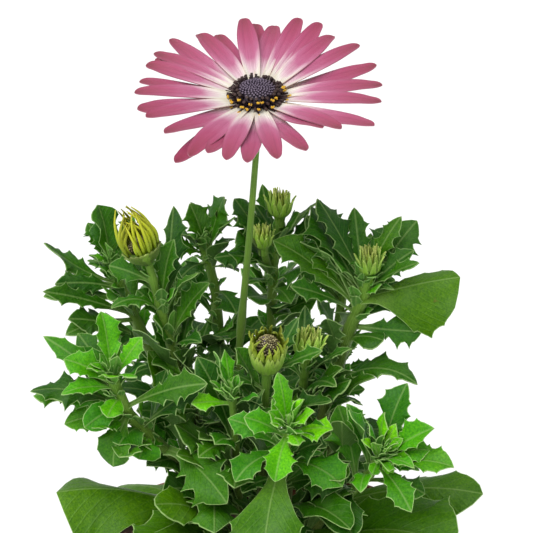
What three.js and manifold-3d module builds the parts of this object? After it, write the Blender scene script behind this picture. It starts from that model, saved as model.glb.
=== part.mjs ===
// A potted osteospermum (Cape daisy): a plain 12 cm nursery pot, its compost, and a bushy plant of toothed
// leafy shoots with one open daisy, two opening buds and four green buds. Millimetres, +Z up. The origin is
// the middle of the pot's flat underside, and -Y is the side that the open flower leans to.
//
// Each leafy stem is one solid: a bent, tapering stem with its leaves (and any green bud) fused to it. It
// stands in a plain hole in the compost. Where a leaf would run into another one, it is bent aside.

import * as THREE from "three";
import { mergeVertices } from "three/addons/utils/BufferGeometryUtils.js";
import Module from "manifold-3d";

const wasm = await Module();
wasm.setup();

// ---------------------------------------------------------------- driving dimensions
const POT = { rimRadius: 57, baseRadius: 42, height: 88, wall: 1.6, floor: 2 };
const COLLAR = { height: 14, step: 2.2, draft: 0.6 }; // the pot's collar stands out from the wall below it
const POT_SIDES = 24;
const DRAIN = { count: 5, radius: 4, circle: 27, sides: 8 };
const SOIL_TOP = 80; // the compost's mean level
const SOIL_GAP = 0.4; // between the compost and the pot's wall
const SOIL_LUMPS = 1.2; // how far its top rises and falls
const HOLE_DEPTH = 16; // how far a stem stands in the compost
const SEAT_GAP = 0.3; // between solids that rest on or in each other

const BLADE = 0.7; // thickness of a leaf
const PETAL = 0.6; // thickness of a ray
const LEAF_FOLD = 13; // degrees that each half of a leaf is raised about its rib, where its row states none
const LEAF_ROOM = 0.35; // free space kept on both sides of a leaf
const ROOM_FROM = 0.3; // share of its length past which a leaf also stays clear of its own shoot
const GOLDEN = 137.5; // degrees round the stem from one leaf to the next
const [FILL_SLIM, FILL_FACE] = [0.5, 30]; // width as a share of the length, and turn of the face in degrees
const [CROWN_SLIM, CROWN_FACE] = [0.44, 10];

const GREEN = { color: 0x2f6b22, roughness: 0.6 };
const PINK = { color: 0xb8608e, roughness: 0.6 };
const YELLOW = { color: 0xb4b41e, roughness: 0.6 };
const DARK = { color: 0x2a2438, roughness: 0.8 };
const PLASTIC = { color: 0x7a4334, roughness: 0.5 };
const COMPOST = { color: 0x3a2a1e, roughness: 0.95 };

// A leaf's half outline from its stalk to its apex: share of the length, share of the half width.
const TOOTHED = [[0, 0.15], [0.34, 0.34], [0.52, 0.9], [0.58, 0.68], [0.78, 1], [1, 0]];
const PLAIN = [[0, 0.2], [0.44, 0.6], [0.66, 1], [1, 0]];
const PLAIN_BELOW = 16; // a leaf shorter than this has one tooth a side
const RIB_START = 0.3; // a leaf's stalk is flat up to here, and past it the blade is folded along its rib
const RIB_STEP = 24; // degrees of droop that one straight stretch of rib may take

// The shoots. stem: the points its middle line runs through, from the compost up. radius: at its foot and
// at its tip. leaves: the share of the stem where each springs, its tip, its width, its droop in degrees from
// stalk to tip, how far its face is turned to -Y in degrees, and in some the fold of its halves. crown: young
// leaves round the tip: count, length, spread in degrees. fill: leaves set by the golden angle: count, from
// and to which share of the stem, length, turn of the first.
const SHOOTS = [
  {
    name: "shoot_west", radius: [2.2, 1.6],
    stem: [[-10, 8, 80], [-22, 10, 118], [-36, 9, 152], [-42.5, 8, 169], [-46.5, 8, 178]],
    leaves: [
      [1.0, [-50, 12, 197], 12, 8, 0], [0.97, [-54, 15, 190], 7, 8, 30], [0.84, [-66, 5, 187], 7, 4, 30],
      [0.8, [-62, 0, 178], 8.5, 20, 45], [0.7, [-67, -1, 172], 13, 26, 40],
      [0.6, [-60, -6, 164], 10, 20, 50],
      [0.9, [-40, 16, 192], 7, 10, 0],
    ],
    crown: [0, 0, 0], fill: [5, 0.25, 0.62, 23, 60],
  },
  {
    name: "shoot_west_bud", radius: [2.1, 1.4],
    stem: [[-11, -1, 80], [-18, -4, 122], [-27.5, -5, 156], [-32, -6, 174], [-35, -7, 187]],
    leaves: [
      [0.6, [-26, 8, 198], 9, 8, 10], [0.5, [-31, 6, 187], 6, 8, 20],
      [0.66, [-25, -3, 191], 8, 20, 40], [0.6, [-24, -9, 186], 4.5, 50, 20],
      [0.82, [-47, -2, 182], 8, 20, 50],
      [0.52, [-16, -9, 178], 9, 30, 45], [0.6, [-46, -13, 169], 6.5, 60, 15],
      [0.36, [-32, -10, 173], 11, 10, 10], [0.2, [-36, -20, 122], 9, 30, 40],
      [0.44, [-24, -4, 171], 7, 10, 10], [0.4, [-22, -14, 160], 5.5, 40, 30],
    ],
    crown: [0, 0, 0], fill: [2, 0.3, 0.5, 22, 200],
  },
  {
    name: "shoot_north_west", radius: [2.2, 1.7],
    stem: [[-5, 13, 80], [-10, 20, 120], [-14, 24, 152], [-15, 25, 165], [-18.5, 24, 180]],
    leaves: [
      [1.0, [-22, 26, 193], 5.5, 8, 0], [0.98, [-12, 27, 194], 7, 10, 10],
      [0.95, [-26, 20, 188], 6, 14, 20],
      [0.93, [-29, 16, 185], 7, 20, 45], [0.95, [-10, 20, 189], 7, 20, 20],
      [0.88, [-25, 13, 173], 8, 50, 20],
      [0.86, [-7, 16, 174], 5, 40, 10], [0.72, [-10, 12, 165], 9, 60, 10],
      [0.6, [-20, 14, 159], 6, 40, 10], [0.45, [-24, -12, 147], 11, 40, 30],
    ],
    crown: [0, 0, 0], fill: [4, 0.15, 0.5, 22, 120],
  },
  {
    name: "shoot_north", radius: [2.2, 1.5],
    stem: [[3, 9, 80], [2, 16, 120], [3, 18, 158], [3.5, 19, 174], [5.3, 20, 189]],
    leaves: [
      [0.78, [-9, 22, 195], 11, 8, 0], [0.7, [-4.5, 27, 193], 8, 8, 0], [0.9, [-1, 23, 194], 6, 8, 0],
      [0.8, [1, 28, 199], 5, 6, 0], [0.86, [12.5, 19, 200], 4, 10, 0], [0.84, [14, 23, 193], 6, 10, 0],
      [0.76, [17, 25, 192], 6, 14, 10], [0.76, [-15, 16, 178], 7, 40, 20], [0.66, [-5, 11, 169], 7, 30, 20],
      [0.62, [9, 8, 166], 7, 50, 10],
      [0.5, [7, 12, 161], 6, 20, 10],
    ],
    crown: [0, 0, 0], fill: [3, 0.3, 0.6, 22, 40],
  },
  {
    name: "flower_stalk", radius: [1.9, 1.1],
    stem: [[-4, 3, 80], [-8, 3, 120], [-6.8, 2, 154], [-4.2, 0, 190], [-1.7, 0.2, 228]],
    leaves: [
      [0.36, [-5, -3, 166], 4.8, 8, 0], [0.28, [12, 10, 142], 9, 20, 0],
    ],
    crown: [0, 0, 0], fill: [3, 0.15, 0.36, 20, 100],
  },
  {
    name: "shoot_east", radius: [2.5, 2.1],
    stem: [[9, 3, 80], [17, 1, 122], [26, -2, 158], [30, -3.5, 170], [32.6, -5, 180]],
    leaves: [
      [0.9, [18, 3, 202], 12, 10, 15], [0.84, [27.5, 5, 199], 7.5, 8, 5], [0.88, [33, 5, 194], 5, 6, 0],
      [0.8, [38, 12, 192], 9, 20, 60], [0.84, [47, 4, 196], 13, 10, 70],
      [0.84, [48, -6, 191], 8, 20, 60], [0.8, [61, -8, 181], 28, 8, 30, -45],
      [0.56, [48, -10, 165], 12, 24, 50],
      [0.3, [31, -14, 155], 8, 20, 40], [0.34, [46, -12, 147], 11, 40, 30],
      [0.84, [23, -8, 194], 5.5, 14, 10],
      [0.86, [41, -10, 194], 5, 14, 10], [0.88, [43, -9, 181], 4, 20, 20], [0.72, [4, 3, 188], 13, 16, 35],
      [0.66, [7, -5, 182], 10, 22, 30], [0.82, [12, 2, 189], 5, 20, 10],
      [0.44, [21, -9, 170], 7, 10, 10],
    ],
    crown: [0, 0, 0], fill: [3, 0.2, 0.55, 24, 100],
  },
  {
    name: "shoot_centre_bud", radius: [1.9, 1.4],
    stem: [[-1, -4, 80], [0, -14, 118], [0.8, -23, 143], [1.6, -27, 158]],
    leaves: [
      [0.95, [18, -29, 165], 4.5, 12, 30], [0.9, [11, -20, 172], 5, 8, 10],
      [0.85, [-3, -32, 145], 4.5, 40, 10],
      [0.6, [-12, -25, 156], 7, 24, 30], [0.55, [21, -30, 149], 8, 30, 40],
    ],
    crown: [0, 0, 0], fill: [3, 0.25, 0.6, 18, 20],
  },
  {
    name: "shoot_east_bud", radius: [1.9, 1.4],
    stem: [[6, -3, 80], [9, -8, 118], [12, -13, 143], [13.4, -15, 155]],
    leaves: [
      [0.75, [13, -7, 171], 5, 8, 0], [0.85, [21, -15, 166], 4, 14, 10], [0.5, [23, -28, 155], 10, 24, 40],
      [0.62, [27, -26, 154], 6, 70, 20],
    ],
    crown: [0, 0, 0], fill: [3, 0.25, 0.6, 18, 330],
  },
  {
    name: "shoot_south_west", radius: [2.3, 1.8],
    stem: [[-8, -7, 80], [-17, -13, 114], [-29.5, -18, 128], [-40, -24.5, 142], [-45, -26, 155]],
    leaves: [
      [1.0, [-48, -20, 174], 9, 8, 10], [0.98, [-36, -26, 168], 7, 10, 35],
      [0.95, [-59, -28, 162], 8.5, 20, 40],
      [0.93, [-60, -33, 153], 6.5, 26, 35], [1.0, [-43, -31, 164], 3.5, 6, 0],
      [0.99, [-37, -35, 159], 4, 40, 20],
      [0.8, [-68, -20, 166], 9, 6, 40], [0.84, [-60, -22, 153], 9, 20, 40],
      [0.76, [-71, -26, 146], 10, 30, 30],
      [0.86, [-46, -38, 147], 8, 40, 20], [0.7, [-54, -30, 141], 15, 30, 40],
      [0.55, [-43, -36, 131], 12, 40, 30],
      [0.66, [-17, -31, 155], 10, 14, 40], [0.6, [-29, -17, 154], 9, 14, 20],
    ],
    crown: [2, 11, 34], fill: [1, 0.4, 0.4, 22, 20],
  },
  {
    name: "shoot_south_centre", radius: [1.7, 1.3],
    stem: [[-5, -12, 80], [-7, -20, 112], [-8, -28, 136], [-9, -32, 151]],
    leaves: [
      [1.0, [-14, -32, 166], 5.5, 8, 10], [0.98, [-10, -28, 165], 4.5, 6, 0],
      [0.95, [-21, -37, 151], 6, 16, 35],
      [0.6, [-13, -39, 142], 8, 50, 20],
    ],
    crown: [2, 8, 46], fill: [2, 0.3, 0.5, 18, 200],
  },
  {
    name: "shoot_south", radius: [2.0, 1.6],
    stem: [[3, -12, 80], [4, -24, 108], [6, -37, 130], [8, -45, 146]],
    leaves: [
      [0.97, [5, -42, 163], 7, 6, 0], [0.99, [11, -46, 157], 6, 6, 10], [0.96, [21, -49, 148], 8.5, 30, 40],
      [0.95, [4, -58, 135], 9, 60, 0], [0.93, [-5, -47, 151], 8, 20, 35],
      [0.82, [-10, -41, 148], 8, 30, 30],
      [0.78, [-8, -53, 133], 9, 66, 10], [0.72, [24, -48, 129], 11, 60, 20],
    ],
    crown: [2, 8.5, 46], fill: [2, 0.3, 0.5, 20, 250],
  },
  {
    name: "shoot_south_east", radius: [2.2, 1.7],
    stem: [[9, -8, 80], [19, -19, 106], [30, -32, 123], [35.7, -38, 134]],
    leaves: [
      [0.96, [41, -30, 156], 13, 8, 10], [0.98, [38, -36, 148], 5.5, 6, 0],
      [0.9, [26, -37, 149], 7.5, 8, 20],
      [0.98, [51, -41, 145], 8.5, 14, 45], [0.92, [57, -45, 134], 12, 20, 40],
      [0.97, [45, -49, 136], 4.5, 30, 20],
      [0.9, [47, -55, 125], 8.5, 40, 20], [0.97, [40, -44, 142], 3.5, 10, 0],
      [0.75, [29, -49, 128], 7, 60, 0],
    ],
    crown: [1, 10, 30], fill: [2, 0.25, 0.5, 22, 100],
  },
  {
    name: "shoot_north_east", radius: [2.1, 1.6],
    stem: [[9, 12, 80], [17, 24, 118], [24, 32, 148], [26, 35, 166]],
    leaves: [[0.8, [12, 28, 172], 9, 20, 30], [0.9, [35, 30, 178], 8, 20, 20]],
    crown: [3, 14, 32], fill: [4, 0.25, 0.8, 28, 10],
  },
  {
    name: "shoot_east_low", radius: [2.1, 1.6],
    stem: [[14, 6, 80], [20, 14, 108], [24, 20, 128], [25, 22, 140]],
    leaves: [],
    crown: [3, 13, 32], fill: [4, 0.25, 0.9, 22, 70],
  },
  {
    name: "shoot_north_far", radius: [2.1, 1.6],
    stem: [[1, 17, 80], [0, 34, 114], [2, 46, 138], [3, 49, 154]],
    leaves: [],
    crown: [3, 14, 34], fill: [5, 0.22, 0.8, 28, 150],
  },
  {
    name: "shoot_west_far", radius: [2.1, 1.6],
    stem: [[-12, 14, 80], [-22, 30, 114], [-27, 40, 140], [-28, 42, 158]],
    leaves: [],
    crown: [3, 14, 34], fill: [5, 0.22, 0.8, 28, 240],
  },
];

// The oldest leaves lie out over the pot's rim: shoot, share of its stem, tip, width, droop, face, fold.
const LOW_LEAVES = [
  ["shoot_south_west", 0.12, [-63, -22, 112], 25, 44, 22, -22],
  ["shoot_south_centre", 0.16, [-30, -45, 124], 13, 20, 50],
  ["shoot_south", 0.2, [7, -66, 108], 24, 70, 0],
  ["shoot_south_centre", 0.06, [-34, -60, 112], 14, 50, 20],
  ["shoot_south", 0.3, [26, -60, 121], 12, 60, 10],
  ["shoot_south_east", 0.1, [60, -48, 110], 24, 50, 30, -18],
  ["shoot_east", 0.08, [68, -18, 115], 26, 40, 36, -22],
  ["shoot_north_east", 0.1, [48, 46, 100], 20, 60, 0, -14],
  ["shoot_north_far", 0.1, [18, 66, 98], 20, 60, 0, -14],
  ["shoot_north_far", 0.06, [-20, 64, 98], 20, 60, 0, -14],
  ["shoot_west_far", 0.1, [-50, 42, 90], 20, 24, 0, -14],
];

// The green buds: shoot, foot, direction, radius, height, and the share of the stem where its stalk springs.
const GREEN_BUDS = [
  ["shoot_north", [5.5, 20, 188.5], [0, -0.1, 1], 4.8, 10, 1],
  ["shoot_north", [0.3, 14, 181.5], [-0.05, -0.35, 1], 4, 8.5, 0.7],
  ["shoot_east", [32.7, -5.1, 179], [0, -0.25, 1], 4.6, 10.5, 1],
  ["shoot_east_bud", [13.4, -15, 155.5], [0.1, -0.2, 1], 5.6, 11, 1],
];
// The opening buds: shoot, foot, direction, radius, length of the rays, how far they close over the disc.
const OPEN_BUDS = [
  ["shoot_west_bud", [-35, -7, 186], [-0.36, -0.15, 1], 6.6, 13, 0.72],
  ["shoot_centre_bud", [1.6, -27, 158.5], [0.02, -0.6, 1], 5.8, 6, 0.3],
];

// The open daisy: middle of the ring of rays, and how far it leans to -Y in degrees.
const [BUD_BRACTS, CUP_BRACTS, BUD_RAYS] = [7, 10, 10];
const CUP_TOP = 5; // height of an opening bud's green cup
const SIDE_STALK = 1.2; // radius of a side bud's stalk
const BLOOM = { centre: [-1.5, -2, 235], lean: 16, ringInner: 5.5, ringOuter: 7 };
const RAY = { root: 6.2, width: 7.6, layer: 0.9, arch: 1.6 }; // layer: how far the two layers' tips part
// Its rays, anticlockwise from +X: turn in degrees, radius and rise of the tip, layer (1 above, 0 below).
const RAYS = [
  [6, 37.4, 1.6, 1], [22.5, 38.3, 3.4, 0], [35, 38.3, 4.1, 1], [54, 37.2, 3.4, 0], [61, 37.9, 6.6, 1],
  [70, 38.5, 6.9, 0], [82, 38.2, 1.6, 1], [89.5, 38.4, 3.4, 0], [96.5, 38.1, 4.1, 1], [110, 35.8, 2.4, 0],
  [117, 37.9, 1.6, 1], [133.5, 38.2, 3.9, 0], [144.5, 37.9, 1.6, 1], [150, 35.6, 2.9, 0], [156.5, 36.6, 1.6, 1],
  [168.5, 35.6, 2.4, 0], [180, 36.1, 1.6, 1], [195, 36.3, 3.4, 0], [206.5, 35.7, 3.1, 1], [223, 35.6, 4.4, 0],
  [231.5, 38, -2.1, 0], [240.5, 38.1, 1.6, 1], [248.5, 35.7, 3.4, 0], [255.5, 36.4, 1.6, 1], [267.5, 37.9, 3.4, 0],
  [278, 35.6, 1.6, 1], [292, 35.5, 3.9, 0], [306, 31, 6.9, 0], [314, 35.5, 5.6, 1], [331.5, 38.5, 2.9, 0],
  [351.5, 37, 1.6, 1],
];

// ---------------------------------------------------------------- small helpers
const rad = (degrees) => (degrees * Math.PI) / 180;
const vec = (p) => new THREE.Vector3(...p);

// Even draws between -1 and 1 from a whole-number seed, the same on every run.
function draws(seed) {
  let state = seed >>> 0;
  return () => {
    state = (Math.imul(state, 1664525) + 1013904223) >>> 0;
    return state / 2147483648 - 1;
  };
}

// A closed three.js geometry as a solid.
function solid(geometry) {
  const bare = new THREE.BufferGeometry().setAttribute("position", geometry.getAttribute("position"));
  if (geometry.index) bare.setIndex(geometry.index);
  const merged = mergeVertices(bare, 1e-4);
  return new wasm.Manifold(
    new wasm.Mesh({
      numProp: 3,
      vertProperties: merged.attributes.position.array,
      triVerts: new Uint32Array(merged.index.array),
    }),
  );
}

function facets(points, faces) {
  const geometry = new THREE.BufferGeometry();
  geometry.setAttribute("position", new THREE.BufferAttribute(new Float32Array(points.flat()), 3));
  return geometry.setIndex(faces.flat());
}

function mesh(name, made, finish) {
  const raw = made.getMesh();
  const corners = new Float32Array(raw.numVert * 3);
  for (let i = 0; i < raw.numVert; i++) {
    corners.set(raw.vertProperties.subarray(i * raw.numProp, i * raw.numProp + 3), i * 3);
  }
  const geometry = new THREE.BufferGeometry();
  geometry.setAttribute("position", new THREE.BufferAttribute(corners, 3));
  geometry.setIndex(new THREE.BufferAttribute(raw.triVerts, 1));
  const named = new THREE.Mesh(geometry, new THREE.MeshStandardMaterial(finish));
  named.name = name;
  return named;
}

// A solid whose cross-sections are rings of the same number of points, closed at both ends.
function loft(rings) {
  const sides = rings[0].length;
  const points = rings.flat().map((p) => p.toArray());
  const faces = [];
  for (let i = 0; i + 1 < rings.length; i++) {
    for (let k = 0; k < sides; k++) {
      const a = i * sides + k;
      const b = i * sides + ((k + 1) % sides);
      faces.push([a, b, b + sides], [a, b + sides, a + sides]);
    }
  }
  const last = (rings.length - 1) * sides;
  for (let k = 1; k + 1 < sides; k++) {
    faces.push([0, k + 1, k], [last, last + k, last + k + 1]);
  }
  return solid(facets(points, faces));
}

// The frame that stands at a point with its third axis along a direction.
function frameAt(origin, direction) {
  const axis = vec(direction).normalize();
  const turn = new THREE.Quaternion().setFromUnitVectors(new THREE.Vector3(0, 0, 1), axis);
  return new THREE.Matrix4().compose(vec(origin), turn, new THREE.Vector3(1, 1, 1));
}

function lathe(profile, sides) {
  const points = profile.map(([r, z]) => new THREE.Vector2(r, z));
  return new THREE.LatheGeometry(points, sides).rotateX(Math.PI / 2);
}

// ---------------------------------------------------------------- leaves
// A leaf's rib is an arc: its pitch falls evenly by the droop from stalk to tip.
function leafTo(root, tip, width, droop, face, fold = LEAF_FOLD, plain = false) {
  const reach = vec(tip).sub(root).toArray();
  const chord = Math.hypot(...reach);
  const half = rad(droop) / 2;
  const azimuth = Math.atan2(reach[1], reach[0]);
  return {
    root, azimuth, width,
    fold: rad(fold),
    plain: plain || chord < PLAIN_BELOW,
    length: (chord * half) / Math.sin(half),
    pitch: Math.asin(reach[2] / chord) + half,
    droop: 2 * half,
    roll: rad(face) * Math.cos(azimuth),
  };
}

function ribAt(leaf, t) {
  const { azimuth, pitch, droop, roll, length, root } = leaf;
  const angle = pitch - droop * t;
  const out = (length * (Math.sin(pitch) - Math.sin(angle))) / droop;
  const up = (length * (Math.cos(angle) - Math.cos(pitch))) / droop;
  const c = Math.cos(azimuth);
  const s = Math.sin(azimuth);
  const point = new THREE.Vector3(root.x + out * c, root.y + out * s, root.z + up);
  const along = new THREE.Vector3(Math.cos(angle) * c, Math.cos(angle) * s, Math.sin(angle));
  const level = new THREE.Vector3(-s, c, 0);
  const above = along.clone().cross(level);
  const side = level.clone().multiplyScalar(Math.cos(roll)).addScaledVector(above, Math.sin(roll));
  const normal = above.multiplyScalar(Math.cos(roll)).addScaledVector(level, -Math.sin(roll));
  return { point, side, normal };
}

// A leaf's blade as a solid: two faces of like triangles, each half raised about the rib, and a thin edge.
function blade(leaf, thickness = BLADE, from = 0) {
  const whole = leaf.plain ? PLAIN : TOOTHED;
  const outline = [[from, widthAt(whole, from)], ...whole.filter(([t]) => t > from + 0.02)];
  const stretches = Math.max(1, Math.round(leaf.droop / rad(RIB_STEP)));
  const start = Math.max(RIB_START, from + 0.02);
  const rib = Array.from({ length: stretches + 1 }, (_, i) => start + ((1 - start) * i) / stretches);
  const points = [];
  const faces = [];
  const add = (t, w, sign) => {
    const { point, side, normal } = ribAt(leaf, t);
    const rise = w ? leaf.fold * Math.min(1, t / RIB_START) : 0;
    const offset = (w * leaf.width) / 2;
    const p = point.clone();
    p.addScaledVector(side, sign * offset * Math.cos(rise)).addScaledVector(normal, offset * Math.sin(rise));
    points.push(p.clone().addScaledVector(normal, thickness / 2).toArray());
    points.push(p.addScaledVector(normal, -thickness / 2).toArray());
    return points.length - 2;
  };
  const both = (a, b, c) => faces.push([a, b, c], [a + 1, c + 1, b + 1]);
  const edge = (a, b) => faces.push([a, b, b + 1], [a, b + 1, a + 1]);
  const ribRow = rib.map((t) => [t, add(t, 0, 0)]);
  const rows = [1, -1].map((sign) => outline.map(([t, w]) => (w ? [t, add(t, w, sign)] : ribRow.at(-1))));
  rows.forEach((row, side) => {
    const face = (a, b, c) => (side ? both(a, c, b) : both(a, b, c));
    let i = 0;
    let j = 0;
    while (i + 1 < ribRow.length || j + 1 < row.length) {
      const onRib = j + 1 >= row.length || (i + 1 < ribRow.length && ribRow[i + 1][0] < row[j + 1][0]);
      if (onRib) face(ribRow[i][1], ribRow[++i][1], row[j][1]);
      else if (row[++j][1] !== ribRow[i][1]) face(ribRow[i][1], row[j][1], row[j - 1][1]);
    }
    for (let k = 0; k + 1 < row.length; k++) {
      if (side) edge(row[k + 1][1], row[k][1]);
      else edge(row[k][1], row[k + 1][1]);
    }
  });
  both(ribRow[0][1], rows[0][0][1], rows[1][0][1]);
  edge(rows[1][0][1], rows[0][0][1]);
  return solid(facets(points, faces));
}

function widthAt(outline, t) {
  const k = Math.max(1, outline.findIndex(([s]) => s >= t));
  const [[t0, w0], [t1, w1]] = [outline[k - 1], outline[k]];
  return w0 + ((w1 - w0) * (t - t0)) / (t1 - t0);
}

// The ways to bend a leaf aside, least first: change of turn and of pitch in degrees, and share of its size.
const BENDS = [1, 0.82]
  .flatMap((size) => [0, 9, -9, 18, -18, 27, -27, 38, -38].flatMap((turn) =>
    [0, 8, -8, 16, -16, 25, -25].map((pitch) => [turn, pitch, size])))
  .sort((a, b) => cost(a) - cost(b));

function cost([turn, pitch, size]) {
  return Math.abs(turn) + 1.15 * Math.abs(pitch) + (1 - size) * 300 + (turn < 0) * 0.1 + (pitch < 0) * 0.2;
}

function bent(leaf, [turn, pitch, size]) {
  return {
    ...leaf,
    azimuth: leaf.azimuth + rad(turn),
    pitch: leaf.pitch + rad(pitch),
    length: leaf.length * size,
    width: leaf.width * size,
  };
}

// ---------------------------------------------------------------- what stands already
const placed = []; // every solid so far: { owner, solid, box }

function remember(owner, made) {
  placed.push({ owner, solid: made, box: made.boundingBox() });
  return made;
}

function apart(a, b) {
  return [0, 1, 2].some((k) => a.max[k] < b.min[k] || b.max[k] < a.min[k]);
}

function meets(made, test) {
  const box = made.boundingBox();
  return placed.some((other) => {
    if (!test(other) || apart(box, other.box)) return false;
    const common = made.intersect(other.solid);
    const hit = !common.isEmpty();
    common.delete();
    return hit;
  });
}

// The first bend in which a leaf is clear of every other shoot, and past its stalk of its own.
function place(owner, leaf) {
  for (const bend of BENDS) {
    const trial = bent(leaf, bend);
    const wide = { ...trial, width: trial.width + 2 * LEAF_ROOM, length: trial.length + LEAF_ROOM };
    const room = blade(wide, BLADE + 2 * LEAF_ROOM);
    const outer = blade(wide, BLADE + 2 * LEAF_ROOM, ROOM_FROM);
    const clear =
      trial.root.z > SOIL_TOP &&
      !meets(room, (other) => other.owner !== owner) &&
      !meets(outer, (other) => other.owner === owner);
    room.delete();
    outer.delete();
    if (clear) return remember(owner, blade(trial));
  }
  return null;
}

// ---------------------------------------------------------------- pot and compost
function pot() {
  const { rimRadius: rim, baseRadius: foot, height, wall, floor } = POT;
  const shoulder = height - COLLAR.height;
  const skirt = rim - COLLAR.draft;
  const neck = skirt - COLLAR.step;
  const shell = solid(lathe([
    [0, 0], [foot, 0], [neck, shoulder], [skirt, shoulder], [rim, height], [rim - wall, height],
    [skirt - wall, shoulder + wall], [neck - wall, shoulder], [foot - wall, floor], [0, floor],
  ], POT_SIDES));
  const drains = Array.from({ length: DRAIN.count }, (_, i) => {
    const turn = (2 * Math.PI * i) / DRAIN.count;
    const hole = new THREE.CylinderGeometry(DRAIN.radius, DRAIN.radius, 4 * floor, DRAIN.sides);
    const [x, y] = [DRAIN.circle * Math.cos(turn), DRAIN.circle * Math.sin(turn)];
    return solid(hole.rotateX(Math.PI / 2).translate(x, y, 0));
  });
  return drains.reduce((body, hole) => body.subtract(hole), shell);
}

// The compost fills the pot to a lumpy top, with a hole for each stem.
function compost(stemHoles) {
  const { rimRadius: rim, baseRadius: foot, wall, floor, height } = POT;
  const shoulder = height - COLLAR.height;
  const base = floor + SEAT_GAP;
  const wide = rim - COLLAR.draft - wall - SOIL_GAP;
  const neck = wide - COLLAR.step;
  const narrow = foot - wall - SOIL_GAP;
  const rings = [[narrow, base], [neck, shoulder - SOIL_GAP], [wide, shoulder + wall + SOIL_GAP]];
  const bands = [wide, wide * 0.6];
  const lump = draws(7);
  const points = [[0, 0, base]];
  const ring = (r, z, rough) => {
    for (let k = 0; k < POT_SIDES; k++) {
      const turn = (2 * Math.PI * k) / POT_SIDES;
      points.push([r * Math.cos(turn), r * Math.sin(turn), z + rough * lump()]);
    }
  };
  rings.forEach(([r, z]) => ring(r, z, 0));
  bands.forEach((r) => ring(r, SOIL_TOP, SOIL_LUMPS));
  points.push([0, 0, SOIL_TOP]);
  const rows = rings.length + bands.length;
  const top = 1 + (rows - 1) * POT_SIDES;
  const faces = [];
  for (let k = 0; k < POT_SIDES; k++) {
    const next = (k + 1) % POT_SIDES;
    faces.push([0, 1 + next, 1 + k], [top + k, top + next, points.length - 1]);
    for (let i = 0; i + 1 < rows; i++) {
      const a = 1 + i * POT_SIDES + k;
      const b = 1 + i * POT_SIDES + next;
      faces.push([a, b, b + POT_SIDES], [a, b + POT_SIDES, a + POT_SIDES]);
    }
  }
  return stemHoles.reduce((body, hole) => body.subtract(hole), solid(facets(points, faces)));
}

// ---------------------------------------------------------------- stems and shoots
const STEM_SIDES = 5;
const STEM_RISE = 3; // a stem stands upright up to this height over the compost
const HOLE_OVER = 10; // a hole's cutter runs this far over the compost

function stemCurve(shoot) {
  return new THREE.CatmullRomCurve3(shoot.stem.map(vec), false, "catmullrom", 0.5);
}

// The two directions across a stem.
function across(along) {
  const front = along.clone().cross(new THREE.Vector3(1, 0, 0)).normalize();
  return { side: front.clone().cross(along), front };
}

function ringRound(centre, along, radius) {
  const { side, front } = across(along);
  return Array.from({ length: STEM_SIDES }, (_, k) => {
    const turn = (2 * Math.PI * k) / STEM_SIDES;
    const point = centre.clone().addScaledVector(side, radius * Math.cos(turn));
    return point.addScaledVector(front, radius * Math.sin(turn));
  });
}

function stemSolid(shoot) {
  const curve = stemCurve(shoot);
  const steps = shoot.stem.length + 1;
  const [foot, tip] = shoot.radius;
  const upright = new THREE.Vector3(0, 0, 1);
  const ground = curve.getPoint(0);
  const rings = [-HOLE_DEPTH, STEM_RISE].map((dz) =>
    ringRound(ground.clone().addScaledVector(upright, dz), upright, foot));
  for (let i = 1; i <= steps; i++) {
    const radius = foot + ((tip - foot) * i) / steps;
    rings.push(ringRound(curve.getPoint(i / steps), curve.getTangent(i / steps), radius));
  }
  return loft(rings);
}

// The plain hole that a stem stands in.
function stemHole(shoot) {
  const [x, y] = shoot.stem[0];
  const upright = new THREE.Vector3(0, 0, 1);
  const radius = shoot.radius[0] + SEAT_GAP + 0.1;
  const [low, high] = [SOIL_TOP - HOLE_DEPTH - SEAT_GAP, SOIL_TOP + HOLE_OVER];
  return loft([low, high].map((z) => ringRound(new THREE.Vector3(x, y, z), upright, radius)));
}

// Leaves set by the golden angle: they start at an angle to the stem and droop.
function fillLeaves(shoot, draw) {
  const [count, from, to, length, first] = shoot.fill;
  const curve = stemCurve(shoot);
  return Array.from({ length: count }, (_, i) => {
    const share = count > 1 ? from + ((to - from) * i) / (count - 1) : from;
    const size = length * (1.12 - 0.35 * share) * (1 + 0.12 * draw());
    const turn = first + GOLDEN * i + 12 * draw();
    const angle = 58 - 18 * share + 8 * draw();
    return springing(curve, share, turn, angle, size, FILL_SLIM, 34 + 12 * draw(), FILL_FACE);
  });
}

// Young leaves close round the tip.
function crownLeaves(shoot, draw) {
  const [count, length, spread] = shoot.crown;
  const curve = stemCurve(shoot);
  return Array.from({ length: count }, (_, i) => {
    const turn = 50 + GOLDEN * i + 10 * draw();
    const angle = spread + 4 * i + 5 * draw();
    const size = length * (0.75 + 0.14 * i);
    return springing(curve, 1, turn, angle, size, CROWN_SLIM, 10 + 8 * draw(), CROWN_FACE);
  });
}

// A leaf that leaves the stem at an angle, turned about it, as a reach from its root.
function springing(curve, share, turn, angle, length, slim, droop, face) {
  const along = curve.getTangent(share);
  const { side, front } = across(along);
  const out = side.multiplyScalar(Math.cos(rad(turn))).addScaledVector(front, Math.sin(rad(turn)));
  const reach = along.multiplyScalar(Math.cos(rad(angle))).addScaledVector(out, Math.sin(rad(angle)));
  const root = curve.getPoint(share);
  const tip = reach.multiplyScalar(length).add(root).toArray();
  return leafTo(root, tip, slim * length, droop, face, LEAF_FOLD, true);
}

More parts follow.
